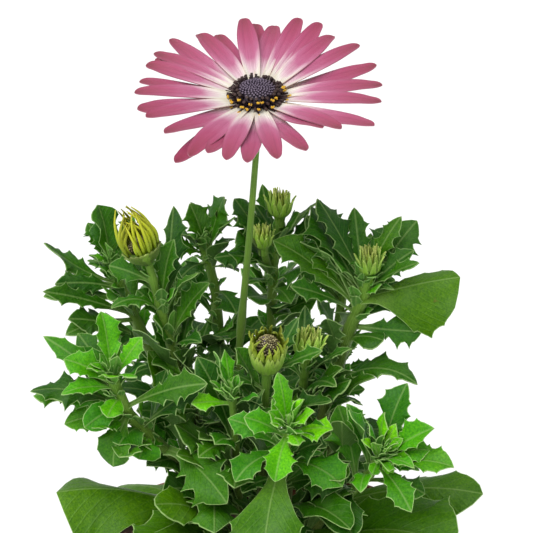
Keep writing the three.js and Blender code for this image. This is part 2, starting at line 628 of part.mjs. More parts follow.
// ---------------------------------------------------------------- buds and daisy
// A closed surface of rows round an axis, from its underside to its top. A row holds the radius and height of
// its valleys and of its points, and whether its points stand over the valleys of the row before.
function scalloped(rows, count) {
  const around = 2 * count;
  const points = rows.flatMap(([valleyR, valleyZ, pointR, pointZ, shifted]) =>
    Array.from({ length: around }, (_, k) => {
      const [r, z] = (k + (shifted ? 1 : 0)) % 2 ? [pointR, pointZ] : [valleyR, valleyZ];
      const turn = (2 * Math.PI * k) / around;
      return [r * Math.cos(turn), r * Math.sin(turn), z];
    }));
  const [under, over] = [points.length, points.length + 1];
  points.push([0, 0, rows[0][1]], [0, 0, Math.max(rows.at(-1)[1], rows.at(-1)[3])]);
  const faces = [];
  const top = (rows.length - 1) * around;
  for (let k = 0; k < around; k++) {
    const next = (k + 1) % around;
    for (let a = 0; a < top; a += around) {
      faces.push([a + k, a + next, a + next + around], [a + k, a + next + around, a + k + around]);
    }
    faces.push([under, next, k], [over, top + k, top + next]);
  }
  return solid(facets(points, faces));
}

const even = (r, z) => [r, z, r, z];

// A green bud: a cup whose rim is a crown of pointed bracts, and the tips of the inner ones in its middle.
function greenBud([, foot, direction, r, h]) {
  return scalloped([
    even(1.4, -1.5), even(r * 0.84, h * 0.26), [r * 0.88, h * 0.5, r, h * 0.52],
    [r * 0.8, h * 0.6, r * 1.04, h * 0.98], even(r * 0.6, h * 0.55),
    [r * 0.46, h * 0.62, r * 0.44, h * 1.02, true],
  ], BUD_BRACTS).transform(frameAt(foot, direction).toArray());
}

// The short stalk of a bud that springs from the side of a stem.
function sideStalk([owner, foot, , , , share]) {
  const root = stemCurve(shootNamed(owner)).getPoint(share);
  const along = vec(foot).sub(root).normalize();
  return loft([root, vec(foot)].map((point) => ringRound(point, along, SIDE_STALK)));
}

// The green cup under a flower or an opening bud, with a flat top at its height and flaring bract tips.
function cup(radius, height, foot, tipFlare, tipRise) {
  return scalloped([
    even(foot, -1.5), even(radius * 0.86, height * 0.45),
    [radius * 0.96, height * 0.8, radius * tipFlare, height + tipRise], even(radius * 0.92, height),
  ], CUP_BRACTS);
}

// Rays of an opening bud: a ring whose upper rim is a crown of long points that close over the disc.
function budRays([, foot, direction, r, length, close]) {
  const low = CUP_TOP + SEAT_GAP;
  const shut = r * (1 - close);
  const [inner, outer] = [r * 0.55, r * 0.86];
  const rows = [
    [outer, low, outer, low], [r * 0.94, low + length * 0.2, r, low + length * 0.3],
    [r * 0.95, low + length * 0.3, r * 0.98, low + length * 0.62], [r * 0.9, low + length * 0.36, shut, low + length],
    [r * 0.84, low + length * 0.32, r * 0.84, low + length * 0.56], [inner + 0.3, low + 1, inner + 0.3, low + 1],
    [inner, low, inner, low],
  ];
  const around = 2 * BUD_RAYS;
  const points = rows.flatMap(([valleyR, valleyZ, pointR, pointZ]) =>
    Array.from({ length: around }, (_, k) => {
      const [q, z] = k % 2 ? [pointR, pointZ - (k % 4 === 1 ? length * 0.12 : 0)] : [valleyR, valleyZ];
      const height = k % 2 && pointZ < low + 1.1 ? pointZ : z;
      const turn = (2 * Math.PI * k) / around;
      return [q * Math.cos(turn), q * Math.sin(turn), height];
    }));
  const faces = [];
  for (let i = 0; i < rows.length; i++) {
    const [row, over] = [i * around, ((i + 1) % rows.length) * around];
    for (let k = 0; k < around; k++) {
      const next = (k + 1) % around;
      faces.push([row + k, row + next, over + next], [row + k, over + next, over + k]);
    }
  }
  return solid(facets(points, faces)).transform(frameAt(foot, direction).toArray());
}

function budDisc([, foot, direction, radius]) {
  const low = CUP_TOP + SEAT_GAP;
  const wide = radius * 0.55 - SEAT_GAP;
  const profile = [[0, low], [wide, low], [wide, low + 2], [wide * 0.7, low + 3.2], [0, low + 3.7]];
  const heart = solid(lathe(profile, 10));
  return heart.transform(frameAt(foot, direction).toArray());
}

// One ray of the daisy: a long blade, widest past its middle, with a blunt point.
const RAY_OUTLINE = [[0, 0.34], [0.45, 0.86], [0.82, 0.92], [1, 0.16]];

function ray([turn, tip, rise, layer]) {
  const length = tip - RAY.root;
  const [c, s] = [Math.cos(rad(turn)), Math.sin(rad(turn))];
  const start = layer ? 0.15 : -0.55;
  const end = rise + (layer ? RAY.layer : -RAY.layer);
  const arch = layer ? RAY.arch : RAY.arch / 5;
  const rings = RAY_OUTLINE.map(([t, w]) => {
    const r = RAY.root + length * t;
    const z = start + (end - start) * t + arch * Math.sin(Math.PI * t);
    const half = (w * RAY.width) / 2;
    return [[-half, -PETAL / 2], [half, -PETAL / 2], [half, PETAL / 2], [-half, PETAL / 2]].map(
      ([wide, up]) => new THREE.Vector3(r * c - wide * s, r * s + wide * c, z + up));
  });
  return loft(rings);
}

function bloomFrame() {
  const lean = rad(BLOOM.lean);
  return frameAt(BLOOM.centre, [0, -Math.sin(lean), Math.cos(lean)]).toArray();
}

function bloomRays() {
  const { ringInner, ringOuter } = BLOOM;
  const [low, high] = [-0.95, 0.5];
  const profile = [[ringInner, low], [ringOuter, low], [ringOuter, high], [ringInner, high], [ringInner, low]];
  const ring = solid(lathe(profile, 16));
  return RAYS.map(ray).reduce((body, one) => body.add(one), ring).transform(bloomFrame());
}

// The disc: a dome of closed florets, and two rings of open florets that lean out over the rays.
function bloomDisc() {
  return scalloped([
    even(5.2, -0.95), even(5.2, 1.1), [7.6, 1.7, 9.4, 3.2], [6.6, 1.9, 7.8, 3.8, true], [5.6, 2.6, 6.4, 4.9],
    [4.7, 3.7, 5, 4.3, true], [3.1, 4.3, 3.3, 4.9], [1.5, 4.6, 1.6, 5.3, true],
  ], 13).transform(bloomFrame());
}

function bloomCup() {
  return cup(6.4, 5.2, 1.3, 1.24, 0).translate([0, 0, -6.8]).transform(bloomFrame());
}

// ---------------------------------------------------------------- growing the plant
const potSolid = remember("pot", pot());
const compostSolid = remember("compost", compost(SHOOTS.map(stemHole)));
const parts = new Map(SHOOTS.map((shoot) => [shoot.name, remember(shoot.name, stemSolid(shoot))]));

function shootNamed(name) {
  return SHOOTS.find((shoot) => shoot.name === name);
}

function fuse(owner, made) {
  parts.set(owner, parts.get(owner).add(made));
}

const rays = remember("bloom_rays", bloomRays());
const disc = remember("bloom_disc", bloomDisc());
fuse("flower_stalk", remember("flower_stalk", bloomCup()));

GREEN_BUDS.forEach((bud) => {
  const [owner, , , , , share] = bud;
  fuse(owner, remember(owner, greenBud(bud)));
  if (share < 1) fuse(owner, remember(owner, sideStalk(bud)));
});
const openBuds = OPEN_BUDS.map((bud) => {
  const [owner, foot, direction, radius] = bud;
  const green = cup(radius * 0.95, CUP_TOP, 1.4, 1.4, 1.8).transform(frameAt(foot, direction).toArray());
  fuse(owner, remember(owner, green));
  return {
    owner,
    rays: remember(owner + "_rays", budRays(bud)),
    disc: remember(owner + "_disc", budDisc(bud)),
  };
});

// The leaves that were set by hand come first, then the young ones, then the fill.
const rooted = (name, [share, ...form]) => [name, leafTo(stemCurve(shootNamed(name)).getPoint(share), ...form)];
const leaves = [
  ...SHOOTS.flatMap(({ name, leaves: rows }) => rows.map((row) => rooted(name, row))),
  ...LOW_LEAVES.map(([name, ...row]) => rooted(name, row)),
  ...SHOOTS.flatMap((shoot, i) => crownLeaves(shoot, draws(100 + i)).map((leaf) => [shoot.name, leaf])),
  ...SHOOTS.flatMap((shoot, i) => fillLeaves(shoot, draws(200 + i)).map((leaf) => [shoot.name, leaf])),
];
for (const [owner, leaf] of leaves) {
  const made = place(owner, leaf);
  if (made) fuse(owner, made);
}

const plant = new THREE.Group();
plant.add(mesh("pot", potSolid, PLASTIC));
plant.add(mesh("compost", compostSolid, COMPOST));
SHOOTS.forEach(({ name }) => plant.add(mesh(name, parts.get(name), GREEN)));
plant.add(mesh("bloom_rays", rays, PINK));
plant.add(mesh("bloom_disc", disc, DARK));
openBuds.forEach((bud) => {
  plant.add(mesh(bud.owner + "_rays", bud.rays, YELLOW));
  plant.add(mesh(bud.owner + "_disc", bud.disc, DARK));
});

export default plant;
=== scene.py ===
# %% [markdown]
# # A potted osteospermum, dressed over its solids
# An osteospermum, or Cape daisy, is a bushy plant: a dozen leafy shoots stand in one pot, and a flower
# opens on a bare stalk above them. The solids give every stem, large leaf, bud and ray its place. Here each
# gets its real edge, veins, hairs and colour, and the small leaves that close the bush are added. Lengths
# are written in millimetres and turned into Blender's metres when a mesh is filled.

# %% Load the solids
import math

import bmesh
import bpy
import numpy as np
from mathutils import Matrix, Vector, kdtree, noise


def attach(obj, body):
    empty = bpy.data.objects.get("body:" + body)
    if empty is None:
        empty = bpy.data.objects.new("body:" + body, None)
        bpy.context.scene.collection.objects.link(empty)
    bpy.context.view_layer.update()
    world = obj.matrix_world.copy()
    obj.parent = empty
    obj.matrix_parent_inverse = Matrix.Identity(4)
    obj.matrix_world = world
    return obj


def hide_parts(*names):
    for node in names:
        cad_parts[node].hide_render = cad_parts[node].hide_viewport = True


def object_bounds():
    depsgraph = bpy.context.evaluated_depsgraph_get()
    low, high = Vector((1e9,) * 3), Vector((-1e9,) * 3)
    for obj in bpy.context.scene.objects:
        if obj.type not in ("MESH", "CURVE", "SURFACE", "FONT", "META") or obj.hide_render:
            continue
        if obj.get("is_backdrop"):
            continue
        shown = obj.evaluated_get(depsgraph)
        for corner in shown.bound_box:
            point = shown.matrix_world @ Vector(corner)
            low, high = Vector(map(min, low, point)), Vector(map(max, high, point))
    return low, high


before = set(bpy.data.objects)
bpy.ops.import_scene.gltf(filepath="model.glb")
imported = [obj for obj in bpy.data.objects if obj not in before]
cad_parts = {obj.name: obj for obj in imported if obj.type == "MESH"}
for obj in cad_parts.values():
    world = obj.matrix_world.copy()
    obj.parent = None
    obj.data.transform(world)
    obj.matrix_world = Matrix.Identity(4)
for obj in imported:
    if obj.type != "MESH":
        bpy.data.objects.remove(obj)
CAD_LOW, CAD_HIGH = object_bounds()
MM = 0.001
print("solids:", len(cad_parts), "size in mm:", [round(s / MM) for s in CAD_HIGH - CAD_LOW])

# %% [markdown]
# ## The camera
# A plant portrait is taken from a little above with a long lens, so that near and far leaves keep their
# proportions. The camera comes first, because every later look at the work needs it.

# %% Place the camera
def show(name, data):
    """A new object of the scene."""
    piece = bpy.data.objects.new(name, data)
    bpy.context.scene.collection.objects.link(piece)
    return piece


CAMERA_TARGET = Vector((1.4, 0, 181)) * MM
CAMERA_ELEVATION = math.radians(20)
CAMERA_DISTANCE = 900 * MM
SENSOR = 36
LENS = 198.6

camera_data = bpy.data.cameras.new("camera")
camera_data.sensor_width = SENSOR
camera_data.lens = LENS
camera = show("camera", camera_data)
towards_camera = Vector((0, -math.cos(CAMERA_ELEVATION), math.sin(CAMERA_ELEVATION)))
camera.location = CAMERA_TARGET + towards_camera * CAMERA_DISTANCE
camera.rotation_euler = towards_camera.to_track_quat("Z", "Y").to_euler()
bpy.context.scene.camera = camera
print("camera", round(CAMERA_DISTANCE / MM), "mm away with a", LENS, "mm lens")

# %% [markdown]
# ## The plan of the plant
# The solids can't tell a leaf from a stem, so the plan that they grew from is written here once more: the
# line of each stem, and the leaves that spring from it. A leaf is given by the share of the stem where it
# springs, its tip, its width, its droop from stalk to tip and the turn of its face towards -Y, both in
# degrees, and in some the fold of its halves. A crown is the young leaves round a tip: count, length,
# spread. A fill is leaves set by the golden angle: count, from and to which share of the stem, length, turn
# of the first.

# %% Write down the shoots
SHOOTS = [
    dict(
        name="shoot_west", radius=[2.2, 1.6],
        stem=[[-10, 8, 80], [-22, 10, 118], [-36, 9, 152], [-42.5, 8, 169], [-46.5, 8, 178]],
        leaves=[
            [1.0, [-50, 12, 197], 12, 8, 0], [0.97, [-54, 15, 190], 7, 8, 30],
            [0.84, [-66, 5, 187], 7, 4, 30], [0.8, [-62, 0, 178], 8.5, 20, 45],
            [0.7, [-67, -1, 172], 13, 26, 40], [0.6, [-60, -6, 164], 10, 20, 50],
            [0.9, [-40, 16, 192], 7, 10, 0],
        ],
        fill=[5, 0.25, 0.62, 23, 60],
    ),
    dict(
        name="shoot_west_bud", radius=[2.1, 1.4],
        stem=[[-11, -1, 80], [-18, -4, 122], [-27.5, -5, 156], [-32, -6, 174], [-35, -7, 187]],
        leaves=[
            [0.6, [-26, 8, 198], 9, 8, 10], [0.5, [-31, 6, 187], 6, 8, 20],
            [0.66, [-25, -3, 191], 8, 20, 40], [0.6, [-24, -9, 186], 4.5, 50, 20],
            [0.82, [-47, -2, 182], 8, 20, 50], [0.52, [-16, -9, 178], 9, 30, 45],
            [0.6, [-46, -13, 169], 6.5, 60, 15], [0.36, [-32, -10, 173], 11, 10, 10],
            [0.2, [-36, -20, 122], 9, 30, 40], [0.44, [-24, -4, 171], 7, 10, 10],
            [0.4, [-22, -14, 160], 5.5, 40, 30],
        ],
        fill=[2, 0.3, 0.5, 22, 200],
    ),
    dict(
        name="shoot_north_west", radius=[2.2, 1.7],
        stem=[[-5, 13, 80], [-10, 20, 120], [-14, 24, 152], [-15, 25, 165], [-18.5, 24, 180]],
        leaves=[
            [1.0, [-22, 26, 193], 5.5, 8, 0], [0.98, [-12, 27, 194], 7, 10, 10],
            [0.95, [-26, 20, 188], 6, 14, 20], [0.93, [-29, 16, 185], 7, 20, 45],
            [0.95, [-10, 20, 189], 7, 20, 20], [0.88, [-25, 13, 173], 8, 50, 20],
            [0.86, [-7, 16, 174], 5, 40, 10], [0.72, [-10, 12, 165], 9, 60, 10],
            [0.6, [-20, 14, 159], 6, 40, 10], [0.45, [-24, -12, 147], 11, 40, 30],
        ],
        fill=[4, 0.15, 0.5, 22, 120],
    ),
    dict(
        name="shoot_north", radius=[2.2, 1.5],
        stem=[[3, 9, 80], [2, 16, 120], [3, 18, 158], [3.5, 19, 174], [5.3, 20, 189]],
        leaves=[
            [0.78, [-9, 22, 195], 11, 8, 0], [0.7, [-4.5, 27, 193], 8, 8, 0],
            [0.9, [-1, 23, 194], 6, 8, 0], [0.8, [1, 28, 199], 5, 6, 0], [0.86, [12.5, 19, 200], 4, 10, 0],
            [0.84, [14, 23, 193], 6, 10, 0], [0.76, [17, 25, 192], 6, 14, 10],
            [0.76, [-15, 16, 178], 7, 40, 20], [0.66, [-5, 11, 169], 7, 30, 20],
            [0.62, [9, 8, 166], 7, 50, 10], [0.5, [7, 12, 161], 6, 20, 10],
        ],
        fill=[3, 0.3, 0.6, 22, 40],
    ),
    dict(
        name="flower_stalk", radius=[1.9, 1.1],
        stem=[[-4, 3, 80], [-8, 3, 120], [-6.8, 2, 154], [-4.2, 0, 190], [-1.7, 0.2, 228]],
        leaves=[
            [0.36, [-5, -3, 166], 4.8, 8, 0], [0.28, [12, 10, 142], 9, 20, 0],
        ],
        fill=[3, 0.15, 0.36, 20, 100],
    ),
    dict(
        name="shoot_east", radius=[2.5, 2.1],
        stem=[[9, 3, 80], [17, 1, 122], [26, -2, 158], [30, -3.5, 170], [32.6, -5, 180]],
        leaves=[
            [0.9, [18, 3, 202], 12, 10, 15], [0.84, [27.5, 5, 199], 7.5, 8, 5],
            [0.88, [33, 5, 194], 5, 6, 0], [0.8, [38, 12, 192], 9, 20, 60],
            [0.84, [47, 4, 196], 13, 10, 70], [0.84, [48, -6, 191], 8, 20, 60],
            [0.8, [61, -8, 181], 28, 8, 30, -45], [0.56, [48, -10, 165], 12, 24, 50],
            [0.3, [31, -14, 155], 8, 20, 40], [0.34, [46, -12, 147], 11, 40, 30],
            [0.84, [23, -8, 194], 5.5, 14, 10], [0.86, [41, -10, 194], 5, 14, 10],
            [0.88, [43, -9, 181], 4, 20, 20], [0.72, [4, 3, 188], 13, 16, 35],
            [0.66, [7, -5, 182], 10, 22, 30], [0.82, [12, 2, 189], 5, 20, 10],
            [0.44, [21, -9, 170], 7, 10, 10],
        ],
        fill=[3, 0.2, 0.55, 24, 100],
    ),
    dict(
        name="shoot_centre_bud", radius=[1.9, 1.4],
        stem=[[-1, -4, 80], [0, -14, 118], [0.8, -23, 143], [1.6, -27, 158]],
        leaves=[
            [0.95, [18, -29, 165], 4.5, 12, 30], [0.9, [11, -20, 172], 5, 8, 10],
            [0.85, [-3, -32, 145], 4.5, 40, 10], [0.6, [-12, -25, 156], 7, 24, 30],
            [0.55, [21, -30, 149], 8, 30, 40],
        ],
        fill=[3, 0.25, 0.6, 18, 20],
    ),
    dict(
        name="shoot_east_bud", radius=[1.9, 1.4],
        stem=[[6, -3, 80], [9, -8, 118], [12, -13, 143], [13.4, -15, 155]],
        leaves=[
            [0.75, [13, -7, 171], 5, 8, 0], [0.85, [21, -15, 166], 4, 14, 10],
            [0.5, [23, -28, 155], 10, 24, 40], [0.62, [27, -26, 154], 6, 70, 20],
        ],
        fill=[3, 0.25, 0.6, 18, 330],
    ),
    dict(
        name="shoot_south_west", radius=[2.3, 1.8],
        stem=[[-8, -7, 80], [-17, -13, 114], [-29.5, -18, 128], [-40, -24.5, 142], [-45, -26, 155]],
        leaves=[
            [1.0, [-48, -20, 174], 9, 8, 10], [0.98, [-36, -26, 168], 7, 10, 35],
            [0.95, [-59, -28, 162], 8.5, 20, 40], [0.93, [-60, -33, 153], 6.5, 26, 35],
            [1.0, [-43, -31, 164], 3.5, 6, 0], [0.99, [-37, -35, 159], 4, 40, 20],
            [0.8, [-68, -20, 166], 9, 6, 40], [0.84, [-60, -22, 153], 9, 20, 40],
            [0.76, [-71, -26, 146], 10, 30, 30], [0.86, [-46, -38, 147], 8, 40, 20],
            [0.7, [-54, -30, 141], 15, 30, 40], [0.55, [-43, -36, 131], 12, 40, 30],
            [0.66, [-17, -31, 155], 10, 14, 40], [0.6, [-29, -17, 154], 9, 14, 20],
        ],
        crown=[2, 11, 34], fill=[1, 0.4, 0.4, 22, 20],
    ),
    dict(
        name="shoot_south_centre", radius=[1.7, 1.3],
        stem=[[-5, -12, 80], [-7, -20, 112], [-8, -28, 136], [-9, -32, 151]],
        leaves=[
            [1.0, [-14, -32, 166], 5.5, 8, 10], [0.98, [-10, -28, 165], 4.5, 6, 0],
            [0.95, [-21, -37, 151], 6, 16, 35], [0.6, [-13, -39, 142], 8, 50, 20],
        ],
        crown=[2, 8, 46], fill=[2, 0.3, 0.5, 18, 200],
    ),
    dict(
        name="shoot_south", radius=[2.0, 1.6],
        stem=[[3, -12, 80], [4, -24, 108], [6, -37, 130], [8, -45, 146]],
        leaves=[
            [0.97, [5, -42, 163], 7, 6, 0], [0.99, [11, -46, 157], 6, 6, 10],
            [0.96, [21, -49, 148], 8.5, 30, 40], [0.95, [4, -58, 135], 9, 60, 0],
            [0.93, [-5, -47, 151], 8, 20, 35], [0.82, [-10, -41, 148], 8, 30, 30],
            [0.78, [-8, -53, 133], 9, 66, 10], [0.72, [24, -48, 129], 11, 60, 20],
        ],
        crown=[2, 8.5, 46], fill=[2, 0.3, 0.5, 20, 250],
    ),
    dict(
        name="shoot_south_east", radius=[2.2, 1.7],
        stem=[[9, -8, 80], [19, -19, 106], [30, -32, 123], [35.7, -38, 134]],
        leaves=[
            [0.96, [41, -30, 156], 13, 8, 10], [0.98, [38, -36, 148], 5.5, 6, 0],
            [0.9, [26, -37, 149], 7.5, 8, 20], [0.98, [51, -41, 145], 8.5, 14, 45],
            [0.92, [57, -45, 134], 12, 20, 40], [0.97, [45, -49, 136], 4.5, 30, 20],
            [0.9, [47, -55, 125], 8.5, 40, 20], [0.97, [40, -44, 142], 3.5, 10, 0],
            [0.75, [29, -49, 128], 7, 60, 0],
        ],
        crown=[1, 10, 30], fill=[2, 0.25, 0.5, 22, 100],
    ),
    dict(
        name="shoot_north_east", radius=[2.1, 1.6],
        stem=[[9, 12, 80], [17, 24, 118], [24, 32, 148], [26, 35, 166]],
        leaves=[[0.8, [12, 28, 172], 9, 20, 30], [0.9, [35, 30, 178], 8, 20, 20]],
        crown=[3, 14, 32], fill=[4, 0.25, 0.8, 28, 10],
    ),
    dict(
        name="shoot_east_low", radius=[2.1, 1.6],
        stem=[[14, 6, 80], [20, 14, 108], [24, 20, 128], [25, 22, 140]],
        leaves=[],
        crown=[3, 13, 32], fill=[4, 0.25, 0.9, 22, 70],
    ),
    dict(
        name="shoot_north_far", radius=[2.1, 1.6],
        stem=[[1, 17, 80], [0, 34, 114], [2, 46, 138], [3, 49, 154]],
        leaves=[],
        crown=[3, 14, 34], fill=[5, 0.22, 0.8, 28, 150],
    ),
    dict(
        name="shoot_west_far", radius=[2.1, 1.6],
        stem=[[-12, 14, 80], [-22, 30, 114], [-27, 40, 140], [-28, 42, 158]],
        leaves=[],
        crown=[3, 14, 34], fill=[5, 0.22, 0.8, 28, 240],
    ),
]
print(len(SHOOTS), "shoots")

# %% Write down the old leaves, the buds and the rays
# Shoot, share of its stem, tip, width, droop, face, fold.
LOW_LEAVES = [
    ["shoot_south_west", 0.12, [-63, -22, 112], 25, 44, 22, -22],
    ["shoot_south_centre", 0.16, [-30, -45, 124], 13, 20, 50],
    ["shoot_south", 0.2, [7, -66, 108], 24, 70, 0],
    ["shoot_south_centre", 0.06, [-34, -60, 112], 14, 50, 20],
    ["shoot_south", 0.3, [26, -60, 121], 12, 60, 10],
    ["shoot_south_east", 0.1, [60, -48, 110], 24, 50, 30, -18],
    ["shoot_east", 0.08, [68, -18, 115], 26, 40, 36, -22],
    ["shoot_north_east", 0.1, [48, 46, 100], 20, 60, 0, -14],
    ["shoot_north_far", 0.1, [18, 66, 98], 20, 60, 0, -14],
    ["shoot_north_far", 0.06, [-20, 64, 98], 20, 60, 0, -14],
    ["shoot_west_far", 0.1, [-50, 42, 90], 20, 24, 0, -14],
]
# Shoot, foot, direction, radius, height, share of the stem where its stalk springs.
GREEN_BUDS = [
    ["shoot_north", [5.5, 20, 188.5], [0, -0.1, 1], 4.8, 10, 1],
    ["shoot_north", [0.3, 14, 181.5], [-0.05, -0.35, 1], 4, 8.5, 0.7],
    ["shoot_east", [32.7, -5.1, 179], [0, -0.25, 1], 4.6, 10.5, 1],
    ["shoot_east_bud", [13.4, -15, 155.5], [0.1, -0.2, 1], 5.6, 11, 1],
]
# Shoot, foot, direction, radius, length of the rays, how far they close over the disc.
OPEN_BUDS = [
    ["shoot_west_bud", [-35, -7, 186], [-0.36, -0.15, 1], 6.6, 13, 0.72],
    ["shoot_centre_bud", [1.6, -27, 158.5], [0.02, -0.6, 1], 5.8, 6, 0.3],
]
# Turn in degrees, radius and rise of the tip, layer (1 above, 0 below).
RAYS = [
    [6, 37.4, 1.6, 1], [22.5, 38.3, 3.4, 0], [35, 38.3, 4.1, 1], [49, 35.8, 4.6, 1], [59, 38.2, 7.0, 0],
    [70, 38.5, 6.9, 0], [82, 38.2, 1.6, 1], [89.5, 38.4, 3.4, 0], [96.5, 38.1, 4.1, 1],
    [110, 35.8, 2.4, 0], [117, 37.9, 1.6, 1], [133.5, 38.2, 3.9, 0], [144.5, 37.9, 1.6, 1],
    [150, 35.6, 2.9, 0], [156.5, 36.6, 1.6, 1], [168.5, 35.6, 2.4, 0], [180, 36.1, 1.6, 1],
    [195, 36.3, 3.4, 0], [206.5, 35.7, 3.1, 1], [223, 35.6, 4.4, 0], [231.5, 38, -2.1, 0],
    [240.5, 38.1, 1.6, 1], [248.5, 35.7, 3.4, 0], [255.5, 36.4, 1.6, 1], [267.5, 37.9, 3.4, 0],
    [278, 35.6, 1.6, 1], [292, 35.5, 3.9, 0], [306, 31, 6.9, 0], [314, 35.5, 5.6, 1],
    [331.5, 38.5, 2.9, 0], [351.5, 37, 1.6, 1],
]
BLOOM_CENTRE = (-1.5, -2, 235)
BLOOM_LEAN = math.radians(16)
RAY_ROOT = 6.2
RAY_WIDTH = 7.6
print(len(LOW_LEAVES), "old leaves,", len(GREEN_BUDS) + len(OPEN_BUDS), "buds,", len(RAYS), "rays")

# %% [markdown]
# ## How stems and leaves grow
# A stem is a smooth line through a few points. A leaf's rib is an arc that leaves the stem at a pitch and
# sinks by its droop, with the blade's two halves folded up or down from it. One function gives any point of
# a stem, and another any point of a rib with the directions across the blade and off it. Everything green
# hangs on these two.

# %% Define the draws and the stem's line
BLADE = 0.7  # thickness of a leaf in the solids
LEAF_FOLD = 13
GOLDEN = 137.5
PLAIN_BELOW = 16  # a shorter leaf has one tooth a side


def even_draws(seed):
    """Even draws between -1 and 1, the same on every run."""
    state = [seed]

    def draw():
        state[0] = (state[0] * 1664525 + 1013904223) % 2**32
        return state[0] / 2**31 - 1

    return draw


def stem_point(stem, share):
    """A point of the smooth line through a stem's points."""
    points = [np.array(p, float) for p in stem]
    points = [2 * points[0] - points[1], *points, 2 * points[-1] - points[-2]]
    spans = len(stem) - 1
    k = min(int(spans * share), spans - 1)
    t = spans * share - k
    before, here, there, after = points[k : k + 4]
    start, end = (there - before) / 2, (after - here) / 2
    bend = 3 * (there - here) - 2 * start - end
    return here + start * t + bend * t**2 + (2 * (here - there) + start + end) * t**3


def unit(vector):
    return vector / np.linalg.norm(vector)


def stem_direction(stem, share):
    low, high = max(share - 1e-4, 0), min(share + 1e-4, 1)
    return unit(stem_point(stem, high) - stem_point(stem, low))


def directions_across(along):
    """Two directions square to a stem, the second towards the front."""
    front = unit(np.cross(along, (1, 0, 0)))
    return np.cross(front, along), front


print("a stem's tip:", stem_point(SHOOTS[0]["stem"], 1).round(1))

# %% Define a leaf and its rib
def leaf_to(root, tip, width, droop, face, fold=LEAF_FOLD, plain=False):
    """A leaf from its root to its tip."""
    root = np.array(root, float)
    reach = np.array(tip, float) - root
    chord = np.linalg.norm(reach)
    half = math.radians(droop) / 2
    azimuth = math.atan2(reach[1], reach[0])
    return dict(
        root=root, azimuth=azimuth, width=width, fold=math.radians(fold), plain=plain or chord < PLAIN_BELOW,
        length=chord * half / math.sin(half), pitch=math.asin(reach[2] / chord) + half, droop=2 * half,
        roll=math.radians(face) * math.cos(azimuth),
    )


def rib_at(leaf, t):
    """Points of the rib, and there the directions across the blade and off it."""
    t = np.asarray(t, float)
    angle = leaf["pitch"] - leaf["droop"] * t
    c, s = math.cos(leaf["azimuth"]), math.sin(leaf["azimuth"])
    out = leaf["length"] * (math.sin(leaf["pitch"]) - np.sin(angle)) / leaf["droop"]
    up = leaf["length"] * (np.cos(angle) - math.cos(leaf["pitch"])) / leaf["droop"]
    point = leaf["root"] + np.stack([out * c, out * s, up], -1)
    along = np.stack([np.cos(angle) * c, np.cos(angle) * s, np.sin(angle)], -1)
    level = np.array([-s, c, 0.0])
    above = np.cross(along, level)
    roll = (leaf["roll"] + leaf.get("twist", 0) * t)[..., None]
    side = level * np.cos(roll) + above * np.sin(roll)
    return point, side, above * np.cos(roll) - level * np.sin(roll)


def springing(stem, share, turn, angle, length, slim, droop, face):
    """A leaf that leaves a stem at an angle, turned about it."""
    along = stem_direction(stem, share)
    side, front = directions_across(along)
    turn, angle = math.radians(turn), math.radians(angle)
    out = side * math.cos(turn) + front * math.sin(turn)
    root = stem_point(stem, share)
    tip = root + length * (along * math.cos(angle) + out * math.sin(angle))
    return leaf_to(root, tip, slim * length, droop, face, plain=True)


print("a rib's middle:", rib_at(leaf_to((0, 0, 0), (20, 0, 0), 8, 40, 0), 0.5)[0].round(1))

# %% List the leaves as they sprang
def crown_leaves(shoot, draw):
    """The young leaves round a shoot's tip."""
    count, length, spread = shoot.get("crown", (0, 0, 0))
    leaves = []
    for i in range(count):
        turn = 50 + GOLDEN * i + 10 * draw()
        angle = spread + 4 * i + 5 * draw()
        size = length * (0.75 + 0.14 * i)
        leaves.append(springing(shoot["stem"], 1, turn, angle, size, 0.44, 10 + 8 * draw(), 10))
    return leaves


def fill_leaves(shoot, draw):
    """Leaves along a shoot, set by the golden angle."""
    count, low, high, length, first = shoot["fill"]
    leaves = []
    for i in range(count):
        share = low + (high - low) * i / (count - 1) if count > 1 else low
        size = length * (1.12 - 0.35 * share) * (1 + 0.12 * draw())
        turn = first + GOLDEN * i + 12 * draw()
        angle = 58 - 18 * share + 8 * draw()
        leaves.append(springing(shoot["stem"], share, turn, angle, size, 0.5, 34 + 12 * draw(), 30))
    return leaves


STEMS = {shoot["name"]: shoot["stem"] for shoot in SHOOTS}
planned = []
for shoot in SHOOTS:
    for share, *form in shoot["leaves"]:
        planned.append((shoot["name"], share, leaf_to(stem_point(shoot["stem"], share), *form)))
for name, share, *form in LOW_LEAVES:
    planned.append((name, share, leaf_to(stem_point(STEMS[name], share), *form)))
for i, shoot in enumerate(SHOOTS):
    planned += [(shoot["name"], 1.0, leaf) for leaf in crown_leaves(shoot, even_draws(100 + i))]
for i, shoot in enumerate(SHOOTS):
    planned += [(shoot["name"], 0.5, leaf) for leaf in fill_leaves(shoot, even_draws(200 + i))]
print(len(planned), "leaves planned")

# %% [markdown]
# ## Finding each leaf in its solid
# Where two leaves would have crossed, one was bent aside when the solids were made. The bends were tried in
# a fixed order, so trying them again in that order, until the leaf's corners lie on corners of the solid,
# finds the same bend. A search tree over each solid's corners makes that quick.

# %% Match the leaves to the solids
def effort(bend):
    """How much a bend changes a leaf."""
    turn, pitch, size = bend
    return abs(turn) + 1.15 * abs(pitch) + (1 - size) * 300 + (turn < 0) * 0.1 + (pitch < 0) * 0.2


TURNS = (0, 9, -9, 18, -18, 27, -27, 38, -38)
PITCHES = (0, 8, -8, 16, -16, 25, -25)
BENDS = sorted(((t, p, s) for s in (1, 0.82) for t in TURNS for p in PITCHES), key=effort)
CORNER_MATCH = 0.03


